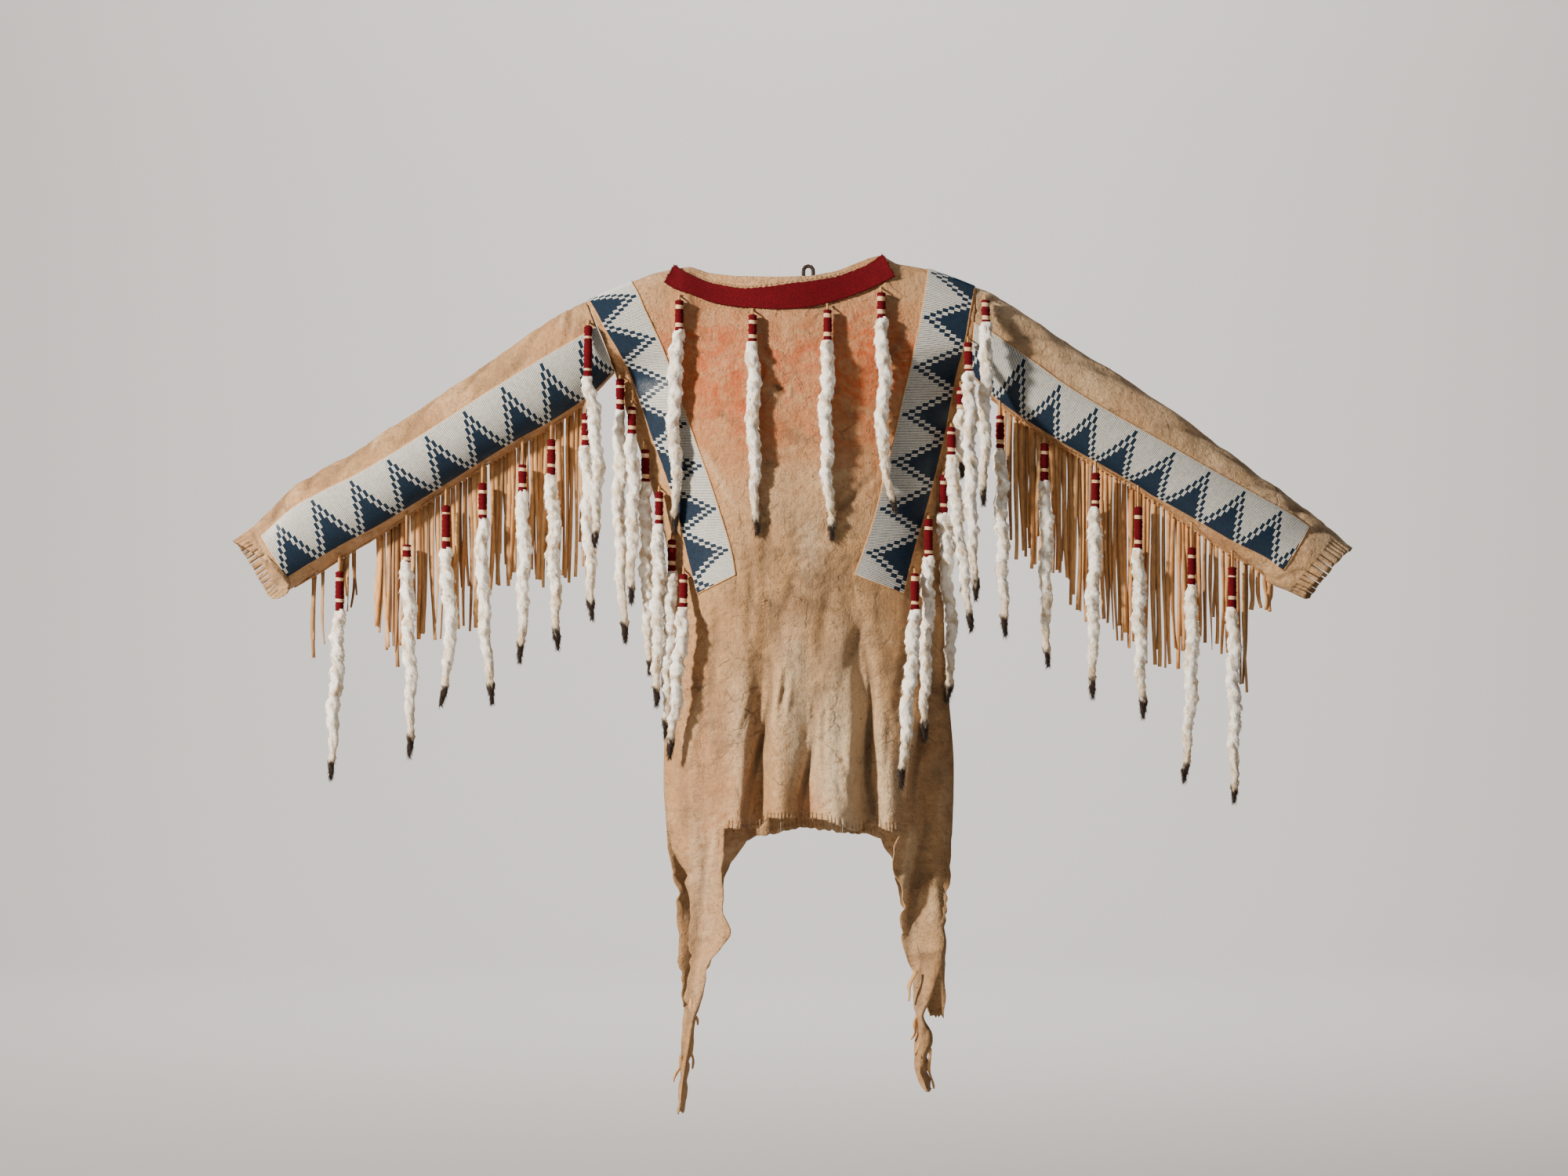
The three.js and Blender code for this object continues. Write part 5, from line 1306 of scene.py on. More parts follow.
def add_fur(heap, path, sizes, source):
    """Twisted, clumped fur along a path, its colour by point: how far down it is, and a tone that is lower,
    for painted shade, where the fur stands in between clumps, with a random spread among the hairs.
    """
    length = path[0, 2] - path[-1, 2]
    rows = max(24, round(length / FUR_PITCH))
    place = np.interp(np.linspace(0, length, rows), path[0, 2] - path[:, 2], np.arange(len(path)))
    middle = np.stack([curve_read(path[:, k], place) for k in range(3)], axis=-1)
    radius = np.interp(place, np.arange(len(path)), path[:, 3])
    share = np.linspace(0, 1, rows)
    brush = TAIL_LENGTH / length
    tail = (share - 1 + brush) / brush
    radius = np.where(tail > 0, np.maximum(radius, TAIL_RADIUS * np.sqrt(np.clip(1 - tail, 0, 1))), radius)
    run = share * length
    phase, pitch = source.uniform(0, math.tau), source.uniform(38, 60)
    turn = phase + run / pitch * math.tau + 0.5 * ripple(run, run * 0, 40, int(source.integers(1e6)))
    thin = np.clip(radius / 10, 0, 1)
    middle[:, 0] += 2.0 * thin * np.cos(turn * 0.5)
    middle[:, 1] += 1.2 * thin * np.sin(turn * 0.5)
    lump_seed = int(source.integers(1e6))

    def bulk(at, around):
        """How far the fur stands out, as a share of its radius."""
        swirl = np.interp(at, run, turn)
        lobes = 0.12 * np.cos(2 * (around - swirl))
        lumps = 0.19 * ripple(at, around * 9, 24, lump_seed)
        return FUR_STAND + lobes + (lumps + 0.17 * ripple(at, around * 9, 9, lump_seed + 1))

    angle = np.linspace(0, math.tau, FUR_AROUND, endpoint=False)
    ring = np.stack([np.cos(angle), np.sin(angle), np.zeros(FUR_AROUND)], axis=-1)
    standing = bulk(run[:, None] + 0 * angle, angle[None] + 0 * run[:, None])
    rings = middle[:, None] + ring[None] * (radius[:, None] * standing)[..., None]
    points, faces = closed_tube(rings)
    dark_from = 1 - source.uniform(0.7, 1.0) * brush
    # Painted shade: the tone is lower where the fur stands in between the clumps, and the fur material
    # paints it yellower there
    tone = 0.55 + 0.22 * (standing - FUR_STAND) / 0.15
    along, dark = np.repeat(share, FUR_AROUND), np.full(rows * FUR_AROUND, dark_from)
    shade = np.stack([along, tone.ravel(), dark], axis=-1)
    shade = np.concatenate([shade, shade[:1], shade[-1:]])
    heap.add((points, faces), 3, shade)
    count = round(sizes.fur_hairs * length / FUR_HAIRS_OVER)
    at, around = source.random(count), source.uniform(0, math.tau, count)
    stands = bulk(at * length, around)
    here = np.interp(at, share, radius)
    out = np.stack([np.cos(around), np.sin(around), np.zeros(count)], axis=-1)
    core = np.stack([np.interp(at, share, middle[:, k]) for k in range(3)], axis=-1)
    roots = core + out * (here * stands * 0.97)[:, None]
    lay = np.stack([-np.sin(around), np.cos(around), np.zeros(count)], axis=-1)
    away = out * source.uniform(0.12, 0.5, (count, 1)) + lay * source.normal(0.35, 0.35, (count, 1))
    away[:, 2] -= source.uniform(0.7, 1.3, count)
    away /= np.linalg.norm(away, axis=1, keepdims=True)
    hair_length = 2.2 + 0.42 * here + 7.0 * smooth_step((at - 1 + brush) / brush)
    hairs = hair_cards((roots, away * (hair_length / 10)[:, None]), 10, 0.34, int(source.integers(1e6)))
    # Painted shade on the hairs too: a lower tone where they root in the hollows between clumps, with a
    # random spread
    hair_tone = 0.6 + 0.22 * (stands - FUR_STAND) / 0.15 + source.normal(0, 0.12, count)
    shade = np.repeat(np.stack([at, hair_tone, np.full(count, dark_from)], axis=-1), 3, axis=0)
    heap.add(hairs, 3, shade)


# Materials
def new_tree(name):
    material = bpy.data.materials.new(name)
    material.use_nodes = True
    tree = material.node_tree
    shader = tree.nodes["Principled BSDF"]
    return material, tree, shader


def add_node(tree, kind, inputs=None, **settings):
    made = tree.nodes.new(kind)
    for key, value in settings.items():
        setattr(made, key, value)
    for key, value in (inputs or {}).items():
        if isinstance(value, bpy.types.NodeSocket):
            tree.links.new(value, made.inputs[key])
        else:
            made.inputs[key].default_value = value
    return made


def blend(tree, factor, a, b, mode="MIX"):
    a, b = opaque(a), opaque(b)
    made = add_node(tree, "ShaderNodeMix", {0: factor, 6: a, 7: b}, data_type="RGBA", blend_type=mode)
    return made.outputs[2]


def opaque(value):
    return value if isinstance(value, bpy.types.NodeSocket) else (*tuple(value)[:3], 1.0)


def calculate(tree, operation, a, b=0.0, clamp=False):
    return add_node(tree, "ShaderNodeMath", {0: a, 1: b}, operation=operation, use_clamp=clamp).outputs[0]


def spread(tree, value, low, high, to_low=0.0, to_high=1.0):
    made = add_node(tree, "ShaderNodeMapRange", {0: value, 1: low, 2: high, 3: to_low, 4: to_high},
                    interpolation_type="SMOOTHSTEP")
    return made.outputs[0]


def object_place(tree, stretch=(1, 1, 1)):
    place = add_node(tree, "ShaderNodeTexCoord").outputs["Object"]
    return add_node(tree, "ShaderNodeMapping", {"Vector": place, "Scale": stretch}).outputs[0]


def noise_of(tree, place, scale, detail=4, roughness=0.55, distortion=0.0):
    made = add_node(tree, "ShaderNodeTexNoise", {"Vector": place, "Scale": scale, "Detail": detail,
                                                 "Roughness": roughness, "Distortion": distortion})
    return made.outputs[0]


def channels(tree, attribute):
    colour = add_node(tree, "ShaderNodeAttribute", attribute_name=attribute).outputs["Color"]
    return add_node(tree, "ShaderNodeSeparateColor", {0: colour}).outputs


def bumped(tree, shader, heights, distance=0.001):
    """Bumps from several heights, each with its strength."""
    normal = None
    for height, strength in heights:
        inputs = {"Height": height, "Strength": strength, "Distance": distance}
        if normal is not None:
            inputs["Normal"] = normal
        normal = add_node(tree, "ShaderNodeBump", inputs).outputs[0]
    tree.links.new(normal, shader.inputs["Normal"])


def warped(tree, place, scale, reach):
    """A place pushed about by noise, so that what is drawn on it wanders."""
    noise = add_node(tree, "ShaderNodeTexNoise", {"Vector": place, "Scale": scale, "Detail": 3})
    drift = noise.outputs["Color"]
    for operation, by in (("SUBTRACT", (0.5, 0.5, 0.5)), ("MULTIPLY", (reach,) * 3), ("ADD", place)):
        step = add_node(tree, "ShaderNodeVectorMath", {0: drift, 1: by}, operation=operation)
        drift = step.outputs[0]
    return drift


def crack_lines(tree, place, scale, width, where):
    """Thin wandering lines, 1 on the line, that show in some places only."""
    inputs = {"Vector": place, "Scale": scale}
    cells = add_node(tree, "ShaderNodeTexVoronoi", inputs, feature="DISTANCE_TO_EDGE")
    line = spread(tree, cells.outputs["Distance"], 0.0, width, 1.0, 0.0)
    return calculate(tree, "MULTIPLY", line, where)


def hide_material(colours):
    material, tree, shader = new_tree("tanned_hide")
    place = object_place(tree)
    stains = channels(tree, "stains")
    worn = channels(tree, "worn")[0]
    broad = noise_of(tree, place, 5, 5, 0.6, 0.6)
    middling = noise_of(tree, place, 24, 7, 0.64, 0.8)
    fine = noise_of(tree, place, 130, 5, 0.62)
    grain = noise_of(tree, place, 620, 4, 0.65)
    upright = noise_of(tree, object_place(tree, (52, 52, 8)), 1, 6, 0.62, 0.6)
    level = noise_of(tree, object_place(tree, (14, 14, 70)), 1, 5, 0.6, 0.8)
    some = spread(tree, noise_of(tree, place, 9, 3, 0.5), 0.46, 0.6)
    bent = warped(tree, place, 16, 0.05)
    broken = calculate(tree, "MULTIPLY", some, spread(tree, noise_of(tree, place, 40, 4, 0.6), 0.44, 0.56))
    long_cracks = crack_lines(tree, bent, 15, 0.022, broken)
    mottle = noise_of(tree, place, 58, 7, 0.7, 1.0)
    pores = noise_of(tree, place, 300, 5, 0.7, 0.4)
    short_cracks = crack_lines(tree, warped(tree, place, 60, 0.02), 62, 0.07,
                               spread(tree, broad, 0.42, 0.62))
    colour = blend(tree, spread(tree, broad, 0.42, 0.7, 0, 0.55), colours.hide, colours.hide_pale)
    colour = blend(tree, spread(tree, middling, 0.52, 0.74, 0, 0.6), colour, colours.hide_brown)
    colour = blend(tree, spread(tree, upright, 0.52, 0.76, 0, 0.35), colour, colours.hide_pale)
    colour = blend(tree, spread(tree, mottle, 0.55, 0.72, 0, 0.55), colour, colours.soil)
    colour = blend(tree, spread(tree, mottle, 0.45, 0.3, 0, 0.5), colour, colours.hide_pale)
    # Pale worn places together with painted highlights along the fold ridges, and on the sleeves a painted
    # highlight along their tops
    pale = calculate(tree, "MULTIPLY", stains[2], spread(tree, middling, 0.3, 0.6, 0.5, 1))
    colour = blend(tree, calculate(tree, "MULTIPLY", pale, 0.85, clamp=True), colour, colours.hide_bright)
    rubbed = noise_of(tree, place, 30, 8, 0.7, 1.4)
    ochre = calculate(tree, "MULTIPLY", stains[0], spread(tree, rubbed, 0.34, 0.62, 0.3, 1.05))
    colour = blend(tree, calculate(tree, "MULTIPLY", ochre, 0.92, clamp=True), colour, colours.ochre)
    # Soil of handling together with painted shade on the left flank and down the fold valleys
    soiled_and_shaded = calculate(tree, "MULTIPLY", stains[1], spread(tree, middling, 0.36, 0.62, 0.15, 1))
    colour = blend(tree, calculate(tree, "MULTIPLY", soiled_and_shaded, 0.6), colour, colours.soil)
    colour = blend(tree, spread(tree, fine, 0.42, 0.7, 0.0, 0.42), colour, colours.hide_brown)
    colour = blend(tree, spread(tree, pores, 0.56, 0.72, 0.0, 0.5), colour, colours.soil)
    # Painted shade in the creases and painted highlight on the ridges, by how far the cloth is pressed in or
    # stands up
    colour = blend(tree, spread(tree, worn, 0.52, 1.0, 0.0, 0.42), colour, colours.soil)
    colour = blend(tree, spread(tree, worn, 0.48, 0.05, 0.0, 0.5), colour, colours.hide_pale)
    colour = blend(tree, calculate(tree, "MULTIPLY", long_cracks, 0.5), colour, colours.soil)
    colour = blend(tree, calculate(tree, "MULTIPLY", short_cracks, 0.22), colour, colours.soil)
    specks = add_node(tree, "ShaderNodeTexVoronoi", {"Vector": place, "Scale": 34}).outputs["Distance"]
    colour = blend(tree, spread(tree, specks, 0.07, 0.03, 0, 0.8), colour, colours.soil)
    tree.links.new(colour, shader.inputs["Base Color"])
    shader.inputs["Roughness"].default_value = 0.62
    shader.inputs["Specular IOR Level"].default_value = 0.34
    shader.inputs["Sheen Weight"].default_value = 0.02
    grooves = calculate(tree, "SUBTRACT", 1.0, long_cracks)
    small_grooves = calculate(tree, "SUBTRACT", 1.0, short_cracks)
    bumped(tree, shader, (
        (middling, 1.0), (upright, 1.0), (level, 0.6), (grooves, 0.5), (small_grooves, 0.3),
        (mottle, 0.8), (fine, 0.9), (pores, 0.5), (grain, 0.4),
    ), 0.0036)
    return material


def wool_material(colours):
    material, tree, shader = new_tree("fulled_wool")
    place = object_place(tree)
    nap, fine = noise_of(tree, place, 420, 5, 0.7), noise_of(tree, place, 1500, 3, 0.6)
    colour = blend(tree, spread(tree, nap, 0.35, 0.7), colours.wool_dark, colours.wool)
    tree.links.new(colour, shader.inputs["Base Color"])
    shader.inputs["Roughness"].default_value = 0.95
    shader.inputs["Specular IOR Level"].default_value = 0.15
    shader.inputs["Sheen Weight"].default_value = 0.12
    shader.inputs["Sheen Tint"].default_value = (*colours.wool, 1)
    bumped(tree, shader, ((nap, 0.6), (fine, 0.6)), 0.0006)
    return material


def bead_material(colours):
    material, tree, shader = new_tree("glass_beads")
    kind, tone, row_tone = list(channels(tree, "bead"))[:3]
    gap = channels(tree, "gap")[0]
    white = blend(tree, spread(tree, tone, 0.2, 0.9), colours.bead_white, colours.bead_cream)
    white = blend(tree, spread(tree, row_tone, 0.2, 1.1, 0, 0.35), white, colours.bead_cream)
    blue = blend(tree, spread(tree, tone, 0.1, 0.9), colours.bead_blue, colours.bead_blue_light)
    colour = blend(tree, kind, white, blue)
    # Painted shade in the gaps between beads and rows, in the thread colour
    shadow = spread(tree, gap, 0.05, 0.7, 0.88, 0.0)
    colour = blend(tree, shadow, colour, colours.thread)
    tree.links.new(colour, shader.inputs["Base Color"])
    shader.inputs["Roughness"].default_value = 0.34
    shader.inputs["Specular IOR Level"].default_value = 0.12
    return material


def thong_material(colours):
    material, tree, shader = new_tree("cut_thong")
    tone, second, _ = list(channels(tree, "tone"))[:3]
    place = object_place(tree, (1, 1, 0.25))
    fibre = noise_of(tree, place, 260, 5, 0.6)
    colour = blend(tree, tone, colours.thong, colours.thong_light)
    colour = blend(tree, spread(tree, second, 0.6, 1.0, 0, 0.7), colour, colours.thong_dark)
    colour = blend(tree, spread(tree, fibre, 0.4, 0.7, 0, 0.5), colour, colours.thong_dark)
    tree.links.new(colour, shader.inputs["Base Color"])
    shader.inputs["Roughness"].default_value = 0.78
    bumped(tree, shader, ((fibre, 0.5),), 0.0006)
    return material


def quill_material(colours):
    material, tree, shader = new_tree("pale_quill")
    fibre = noise_of(tree, object_place(tree, (1, 1, 4)), 300, 3)
    colour = blend(tree, spread(tree, fibre, 0.35, 0.65), colours.quill, colours.thong)
    tree.links.new(colour, shader.inputs["Base Color"])
    shader.inputs["Roughness"].default_value = 0.6
    bumped(tree, shader, ((fibre, 0.5),), 0.0005)
    return material


def fur_material(colours):
    material, tree, shader = new_tree("white_fur")
    along, tone, dark_from = list(channels(tree, "tone"))[:3]
    clumps = noise_of(tree, object_place(tree, (1, 1, 0.7)), 75, 5, 0.6, 0.6)
    fine = noise_of(tree, object_place(tree, (1, 1, 0.35)), 900, 4, 0.65)
    colour = blend(tree, spread(tree, clumps, 0.5, 0.62, 0, 0.75), colours.fur, colours.fur_yellow)
    # Painted shade: fur with a low tone, which stands in between the clumps, is painted yellower and darker
    colour = blend(tree, spread(tree, tone, 0.1, 0.8, 0.35, 0.0), colour, colours.fur_yellow)
    colour = blend(tree, spread(tree, fine, 0.5, 0.75, 0, 0.3), colour, colours.fur_yellow)
    toward_tail = spread(tree, along, 0.62, 0.9, 0, 0.6)
    colour = blend(tree, toward_tail, colour, colours.fur_yellow)
    uneven = calculate(tree, "ADD", along, spread(tree, tone, 0.1, 0.9, -0.02, 0.02))
    dark = spread(tree, calculate(tree, "SUBTRACT", uneven, dark_from), -0.02, 0.035)
    colour = blend(tree, dark, colour, colours.tail)
    tree.links.new(colour, shader.inputs["Base Color"])
    shader.inputs["Roughness"].default_value = 0.9
    shader.inputs["Specular IOR Level"].default_value = 0.12
    shader.inputs["Sheen Weight"].default_value = 0.3
    bumped(tree, shader, ((clumps, 0.8), (fine, 0.5)), 0.0014)
    return material


def rod_material(colours):
    material, tree, shader = new_tree("dark_rod")
    wear = noise_of(tree, object_place(tree), 90, 4)
    tree.links.new(blend(tree, spread(tree, wear, 0.45, 0.75), colours.rod, colours.rod_worn),
                   shader.inputs["Base Color"])
    tree.links.new(spread(tree, wear, 0.3, 0.7, 0.35, 0.55), shader.inputs["Roughness"])
    bumped(tree, shader, ((wear, 0.2),), 0.0004)
    return material


def backing_material(colours):
    material, tree, shader = new_tree("strip_edge")
    wear = noise_of(tree, object_place(tree), 240, 4)
    tree.links.new(blend(tree, spread(tree, wear, 0.4, 0.7), colours.thread, colours.thong_dark),
                   shader.inputs["Base Color"])
    shader.inputs["Roughness"].default_value = 0.85
    return material


RECIPES = {
    "tanned_hide": hide_material, "fulled_wool": wool_material, "glass_beads": bead_material,
    "cut_thong": thong_material, "pale_quill": quill_material, "white_fur": fur_material,
    "dark_rod": rod_material, "strip_edge": backing_material,
}


def material_of(name, colours):
    """The material of that name, made when it is first asked for."""
    return bpy.data.materials.get(name) or RECIPES[name](colours)


# The add-on
def size_property(label, text, value):
    return bpy.props.FloatProperty(name=label, description=text, default=value * MM, min=0.0,
                                   unit="LENGTH", subtype="DISTANCE", precision=4)


def count_property(label, text, value):
    return bpy.props.IntProperty(name=label, description=text, default=value, min=1, subtype="UNSIGNED")


def colour_property(label, value):
    return bpy.props.FloatVectorProperty(name=label, description=f"Linear colour of the {label.lower()}",
                                         default=value, min=0, max=1, size=3, subtype="COLOR")


class WARSHIRT_PG_sizes(bpy.types.PropertyGroup):
    """Sizes of the shirt's pieces."""
    hide_pitch: size_property("Hide mesh pitch", "Distance between rows of the hides' meshes", 5.0)
    hide_thickness: size_property("Hide thickness", "Thickness of the two body hides", 1.5)
    sleeve_thickness: size_property("Sleeve thickness", "Thickness of the sleeves' hide", 1.4)
    wool_thickness: size_property("Wool thickness", "Thickness of the red neck band", 1.8)
    bead_pitch: size_property("Bead row pitch", "Distance between two rows of beads on the sleeves", 2.225)
    bead_lift: size_property("Bead lift", "How far the foot of the beads lies off the hide", 1.0)
    bead_height: size_property("Bead height", "Height of a bead above its thread", 1.1)
    beads_across: count_property("Beads across", "Beads in a row across a strip", 33)
    sleeve_rows: count_property("Sleeve rows", "Rows of points along a sleeve", 150)
    sleeve_turns: count_property("Sleeve columns", "Points round a sleeve", 84)
    nap_hairs: count_property("Wool fibres", "Loose fibres of the neck band", 2600)
    fur_hairs: count_property("Fur hairs", "Hairs on 250 mm of an ermine drop", 2500)


class WARSHIRT_PG_colours(bpy.types.PropertyGroup):
    """Colours of the shirt's materials."""
    hide: colour_property("Hide", (0.53, 0.285, 0.115))
    hide_pale: colour_property("Hide pale", (0.73, 0.49, 0.265))
    hide_bright: colour_property("Hide bright", (0.86, 0.67, 0.43))
    hide_brown: colour_property("Hide brown", (0.3, 0.14, 0.052))
    ochre: colour_property("Ochre", (0.52, 0.085, 0.01))
    soil: colour_property("Soil", (0.13, 0.077, 0.038))
    wool: colour_property("Wool", (0.13, 0.001, 0.005))
    wool_dark: colour_property("Wool dark", (0.06, 0.001, 0.003))
    bead_white: colour_property("White beads", (0.78, 0.78, 0.74))
    bead_cream: colour_property("Cream beads", (0.6, 0.58, 0.5))
    bead_blue: colour_property("Blue beads", (0.0004, 0.017, 0.042))
    bead_blue_light: colour_property("Light blue beads", (0.0008, 0.033, 0.072))
    thread: colour_property("Thread", (0.03, 0.02, 0.014))
    thong: colour_property("Thong", (0.56, 0.25, 0.075))
    thong_light: colour_property("Thong light", (0.62, 0.36, 0.15))
    thong_dark: colour_property("Thong dark", (0.22, 0.1, 0.035))
    quill: colour_property("Quill", (0.66, 0.52, 0.34))
    fur: colour_property("Fur", (0.97, 0.92, 0.83))
    fur_yellow: colour_property("Fur yellow", (0.6, 0.44, 0.25))
    tail: colour_property("Tail", (0.02, 0.009, 0.004))
    rod: colour_property("Rod", (0.028, 0.015, 0.01))
    rod_worn: colour_property("Rod worn", (0.08, 0.045, 0.03))
    backdrop: colour_property("Backdrop", (0.5, 0.48, 0.46))


LENGTHS = ("hide_pitch", "hide_thickness", "sleeve_thickness", "wool_thickness", "bead_pitch",
           "bead_lift", "bead_height")
COUNTS = ("beads_across", "sleeve_rows", "sleeve_turns", "nap_hairs", "fur_hairs")


class Sizes:
    """The sizes, lengths in millimetres."""

    def __init__(self, settings):
        for name in LENGTHS:
            setattr(self, name, getattr(settings, name) / MM)
        for name in COUNTS:
            setattr(self, name, getattr(settings, name))


def settings_of(context):
    return Sizes(context.scene.warshirt_sizes), context.scene.warshirt_colours


class WARSHIRT_OT_hides(bpy.types.Operator):
    """Build the front and the back hide with their leg tabs, folds and snipped hems"""
    bl_idname = "warshirt.hides"
    bl_label = "Hides"

    def execute(self, context):
        sizes, colours = settings_of(context)
        for side, flat, area in (("front", (0.56, 1.3), 0.455), ("back", (0.56, 1.17), 0.45)):
            cloth = build_hide(side, sizes, material_of("tanned_hide", colours))
        build_rags(material_of("cut_thong", colours))
        build_stitches(material_of("cut_thong", colours))
        return {"FINISHED"}


class WARSHIRT_OT_sleeves(bpy.types.Operator):
    """Build both sleeves with their creases and cut cuffs"""
    bl_idname = "warshirt.sleeves"
    bl_label = "Sleeves"

    def execute(self, context):
        sizes, colours = settings_of(context)
        for which in ("left", "right"):
            cloth = build_sleeve(which, sizes, material_of("tanned_hide", colours))
        return {"FINISHED"}


class WARSHIRT_OT_beadwork(bpy.types.Operator):
    """Build the four beaded strips with their stepped zigzag"""
    bl_idname = "warshirt.beadwork"
    bl_label = "Beadwork"

    def execute(self, context):
        sizes, colours = settings_of(context)
        materials = [material_of(name, colours) for name in ("glass_beads", "strip_edge", "cut_thong")]
        for which in ("left", "right"):
            strip = build_shoulder_strip(which, sizes, materials)
            strip = build_sleeve_strip(which, sizes, materials)
        return {"FINISHED"}


class WARSHIRT_OT_neck_band(bpy.types.Operator):
    """Build the red wool band round the front of the neck, with its loose fibres"""
    bl_idname = "warshirt.neck_band"
    bl_label = "Neck band"

    def execute(self, context):
        sizes, colours = settings_of(context)
        band, nap = build_neck_band(sizes, material_of("fulled_wool", colours))
        return {"FINISHED"}


class WARSHIRT_OT_fringe(bpy.types.Operator):
    """Build the hide fringe under both sleeves"""
    bl_idname = "warshirt.fringe"
    bl_label = "Fringe"

    def execute(self, context):
        material = material_of("cut_thong", context.scene.warshirt_colours)
        for which in ("left", "right"):
            build_fringe(which, material)
        return {"FINISHED"}


FIRST_DROP_SEED = 200


class WARSHIRT_OT_drops(bpy.types.Operator):
    """Build the ermine drops: thong, wool wrap, twisted fur and dark tail tip"""
    bl_idname = "warshirt.drops"
    bl_label = "Ermine drops"

    def execute(self, context):
        sizes, colours = settings_of(context)
        names = ("cut_thong", "fulled_wool", "pale_quill", "white_fur")
        materials = [material_of(name, colours) for name in names]
        drops = sorted(name for name in frame["nodes"] if name.startswith("drop_"))
        for number, name in enumerate(drops):
            piece_name = name.replace("drop_", "ermine_")
            build_drop(piece_name, frame["nodes"][name], sizes, materials, FIRST_DROP_SEED + number)
        return {"FINISHED"}


class WARSHIRT_OT_hanger(bpy.types.Operator):
    """Give the hanger its dark satin finish"""
    bl_idname = "warshirt.hanger"
    bl_label = "Hanger"

    def execute(self, context):
        hanger = frame["nodes"]["hanger"]
        rod = material_of("dark_rod", context.scene.warshirt_colours)
        for place in hanger.material_slots:
            place.material = rod
        return {"FINISHED"}


# Studio: lights by name, place, aim, size in metres, power in watts, and colour
LIGHTS = (
    ("key", (-3.5, -2.3, 1.2), (0.0, 0.0, -0.55), 0.4, 540, (1.0, 0.93, 0.84)),
    ("fill", (2.6, -3.4, 0.1), (0.0, 0.0, -0.5), 2.2, 12, (0.94, 0.97, 1.0)),
    ("top", (0.2, 0.2, 1.9), (0.0, 0.0, -0.3), 1.4, 14, (1.0, 0.98, 0.96)),
    ("wash", (0.0, 4.4, 4.2), (0.0, 10.0, 0.0), 3.0, 900, (1.0, 0.98, 0.96)),
)
# Floor and wall are one sheet with a round sweep between them, in metres
FLOOR_Z = -1.62
FLOOR_REACH = 18.0
WALL_Y, WALL_TOP = 10.0, 8.0
SWEEP_RADIUS, SWEEP_STEPS = 3.0, 12
SKY_COLOUR, SKY_STRENGTH = (0.9, 0.93, 1.0, 1), 0.09
CAMERA_AIM = (-0.0347, 0.0, -0.457)


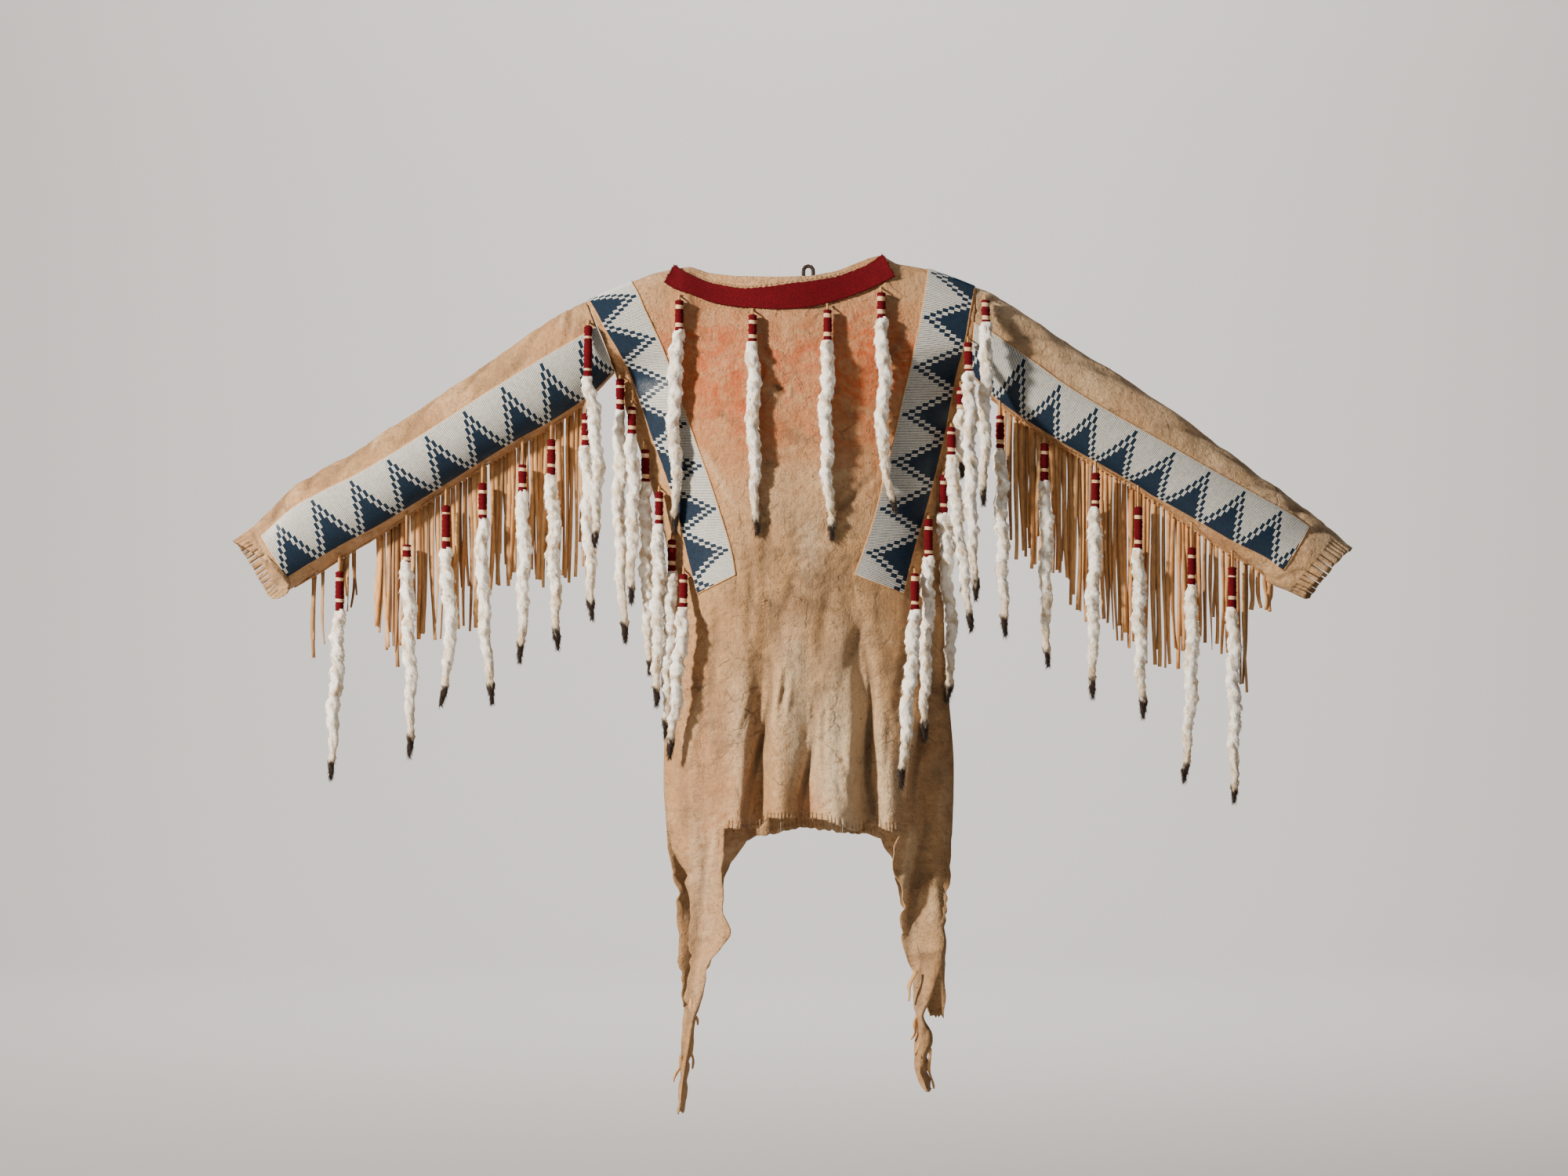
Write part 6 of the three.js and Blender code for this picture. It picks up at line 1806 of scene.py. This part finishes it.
class WARSHIRT_OT_stage(bpy.types.Operator):
    """Set the pale floor and wall, the soft lights and the camera at the photo's angle"""
    bl_idname = "warshirt.stage"
    bl_label = "Studio"

    def execute(self, context):
        colours = context.scene.warshirt_colours
        material, _, shader = new_tree("studio_paper")
        shader.inputs["Base Color"].default_value = (*colours.backdrop, 1)
        shader.inputs["Roughness"].default_value = 0.9
        profile = [(-FLOOR_REACH, FLOOR_Z), (WALL_Y - SWEEP_RADIUS, FLOOR_Z)]
        for step in range(1, SWEEP_STEPS + 1):
            turn = math.pi / 2 * step / SWEEP_STEPS
            profile.append((WALL_Y - SWEEP_RADIUS * (1 - math.sin(turn)),
                            FLOOR_Z + SWEEP_RADIUS * (1 - math.cos(turn))))
        profile.append((WALL_Y, WALL_TOP))
        points = np.array([[(x, y, z) for x in (-FLOOR_REACH, FLOOR_REACH)] for y, z in profile]) / MM
        paper = make_piece("studio_backdrop", points, grid_faces(len(profile), 2), [material])
        for name, place, aim, size, power, colour in LIGHTS:
            data = bpy.data.lights.new(name, "AREA")
            data.shape, data.size, data.energy, data.color = "DISK", size, power, colour
            light = bpy.data.objects.new(name, data)
            light.location = place
            light.rotation_euler = (Vector(aim) - Vector(place)).to_track_quat("-Z", "Y").to_euler()
            light.visible_camera = False
            context.scene.collection.objects.link(light)
        world = context.scene.world or bpy.data.worlds.new("studio_world")
        context.scene.world = world
        world.use_nodes = True
        background = world.node_tree.nodes["Background"]
        background.inputs["Color"].default_value = SKY_COLOUR
        background.inputs["Strength"].default_value = SKY_STRENGTH
        data = bpy.data.cameras.new("photo_camera")
        data.sensor_width = SENSOR_MM
        data.lens = SENSOR_MM * CAMERA_DISTANCE / (PHOTO_WIDTH * PIXEL_MM * MM)
        camera = bpy.data.objects.new("photo_camera", data)
        camera.location = Vector(CAMERA_AIM) + Vector((0, -CAMERA_DISTANCE, 0))
        camera.rotation_euler = (math.pi / 2, 0, 0)
        context.scene.collection.objects.link(camera)
        context.scene.camera = camera
        return {"FINISHED"}


class WARSHIRT_PT_panel(bpy.types.Panel):
    """Sizes, colours and one button for each piece"""
    bl_label = "Plains War Shirt"
    bl_idname = "WARSHIRT_PT_panel"
    bl_space_type = "VIEW_3D"
    bl_region_type = "UI"
    bl_category = "War Shirt"

    def draw(self, context):
        for operator in OPERATORS:
            self.layout.operator(operator.bl_idname)
        for settings in (context.scene.warshirt_sizes, context.scene.warshirt_colours):
            box = self.layout.box()
            for name in settings.__class__.__annotations__:
                box.prop(settings, name)


OPERATORS = (
    WARSHIRT_OT_stage, WARSHIRT_OT_hanger, WARSHIRT_OT_hides, WARSHIRT_OT_sleeves,
    WARSHIRT_OT_neck_band, WARSHIRT_OT_beadwork, WARSHIRT_OT_fringe, WARSHIRT_OT_drops,
)
CLASSES = (WARSHIRT_PG_sizes, WARSHIRT_PG_colours, *OPERATORS, WARSHIRT_PT_panel)
STARTUP_OBJECTS = ("Cube", "Light", "Camera")


def register():
    for kind in CLASSES:
        bpy.utils.register_class(kind)
    bpy.types.Scene.warshirt_sizes = bpy.props.PointerProperty(type=WARSHIRT_PG_sizes)
    bpy.types.Scene.warshirt_colours = bpy.props.PointerProperty(type=WARSHIRT_PG_colours)


def unregister():
    del bpy.types.Scene.warshirt_colours
    del bpy.types.Scene.warshirt_sizes
    for kind in reversed(CLASSES):
        bpy.utils.unregister_class(kind)


def main():
    for name in STARTUP_OBJECTS:
        if name in bpy.data.objects:
            bpy.data.objects.remove(bpy.data.objects[name])
    register()
    for name in ("stage", "hanger", "hides", "sleeves", "neck_band", "beadwork", "fringe", "drops"):
        getattr(bpy.ops.warshirt, name)()
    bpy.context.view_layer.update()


if __name__ == "__main__":
    main()
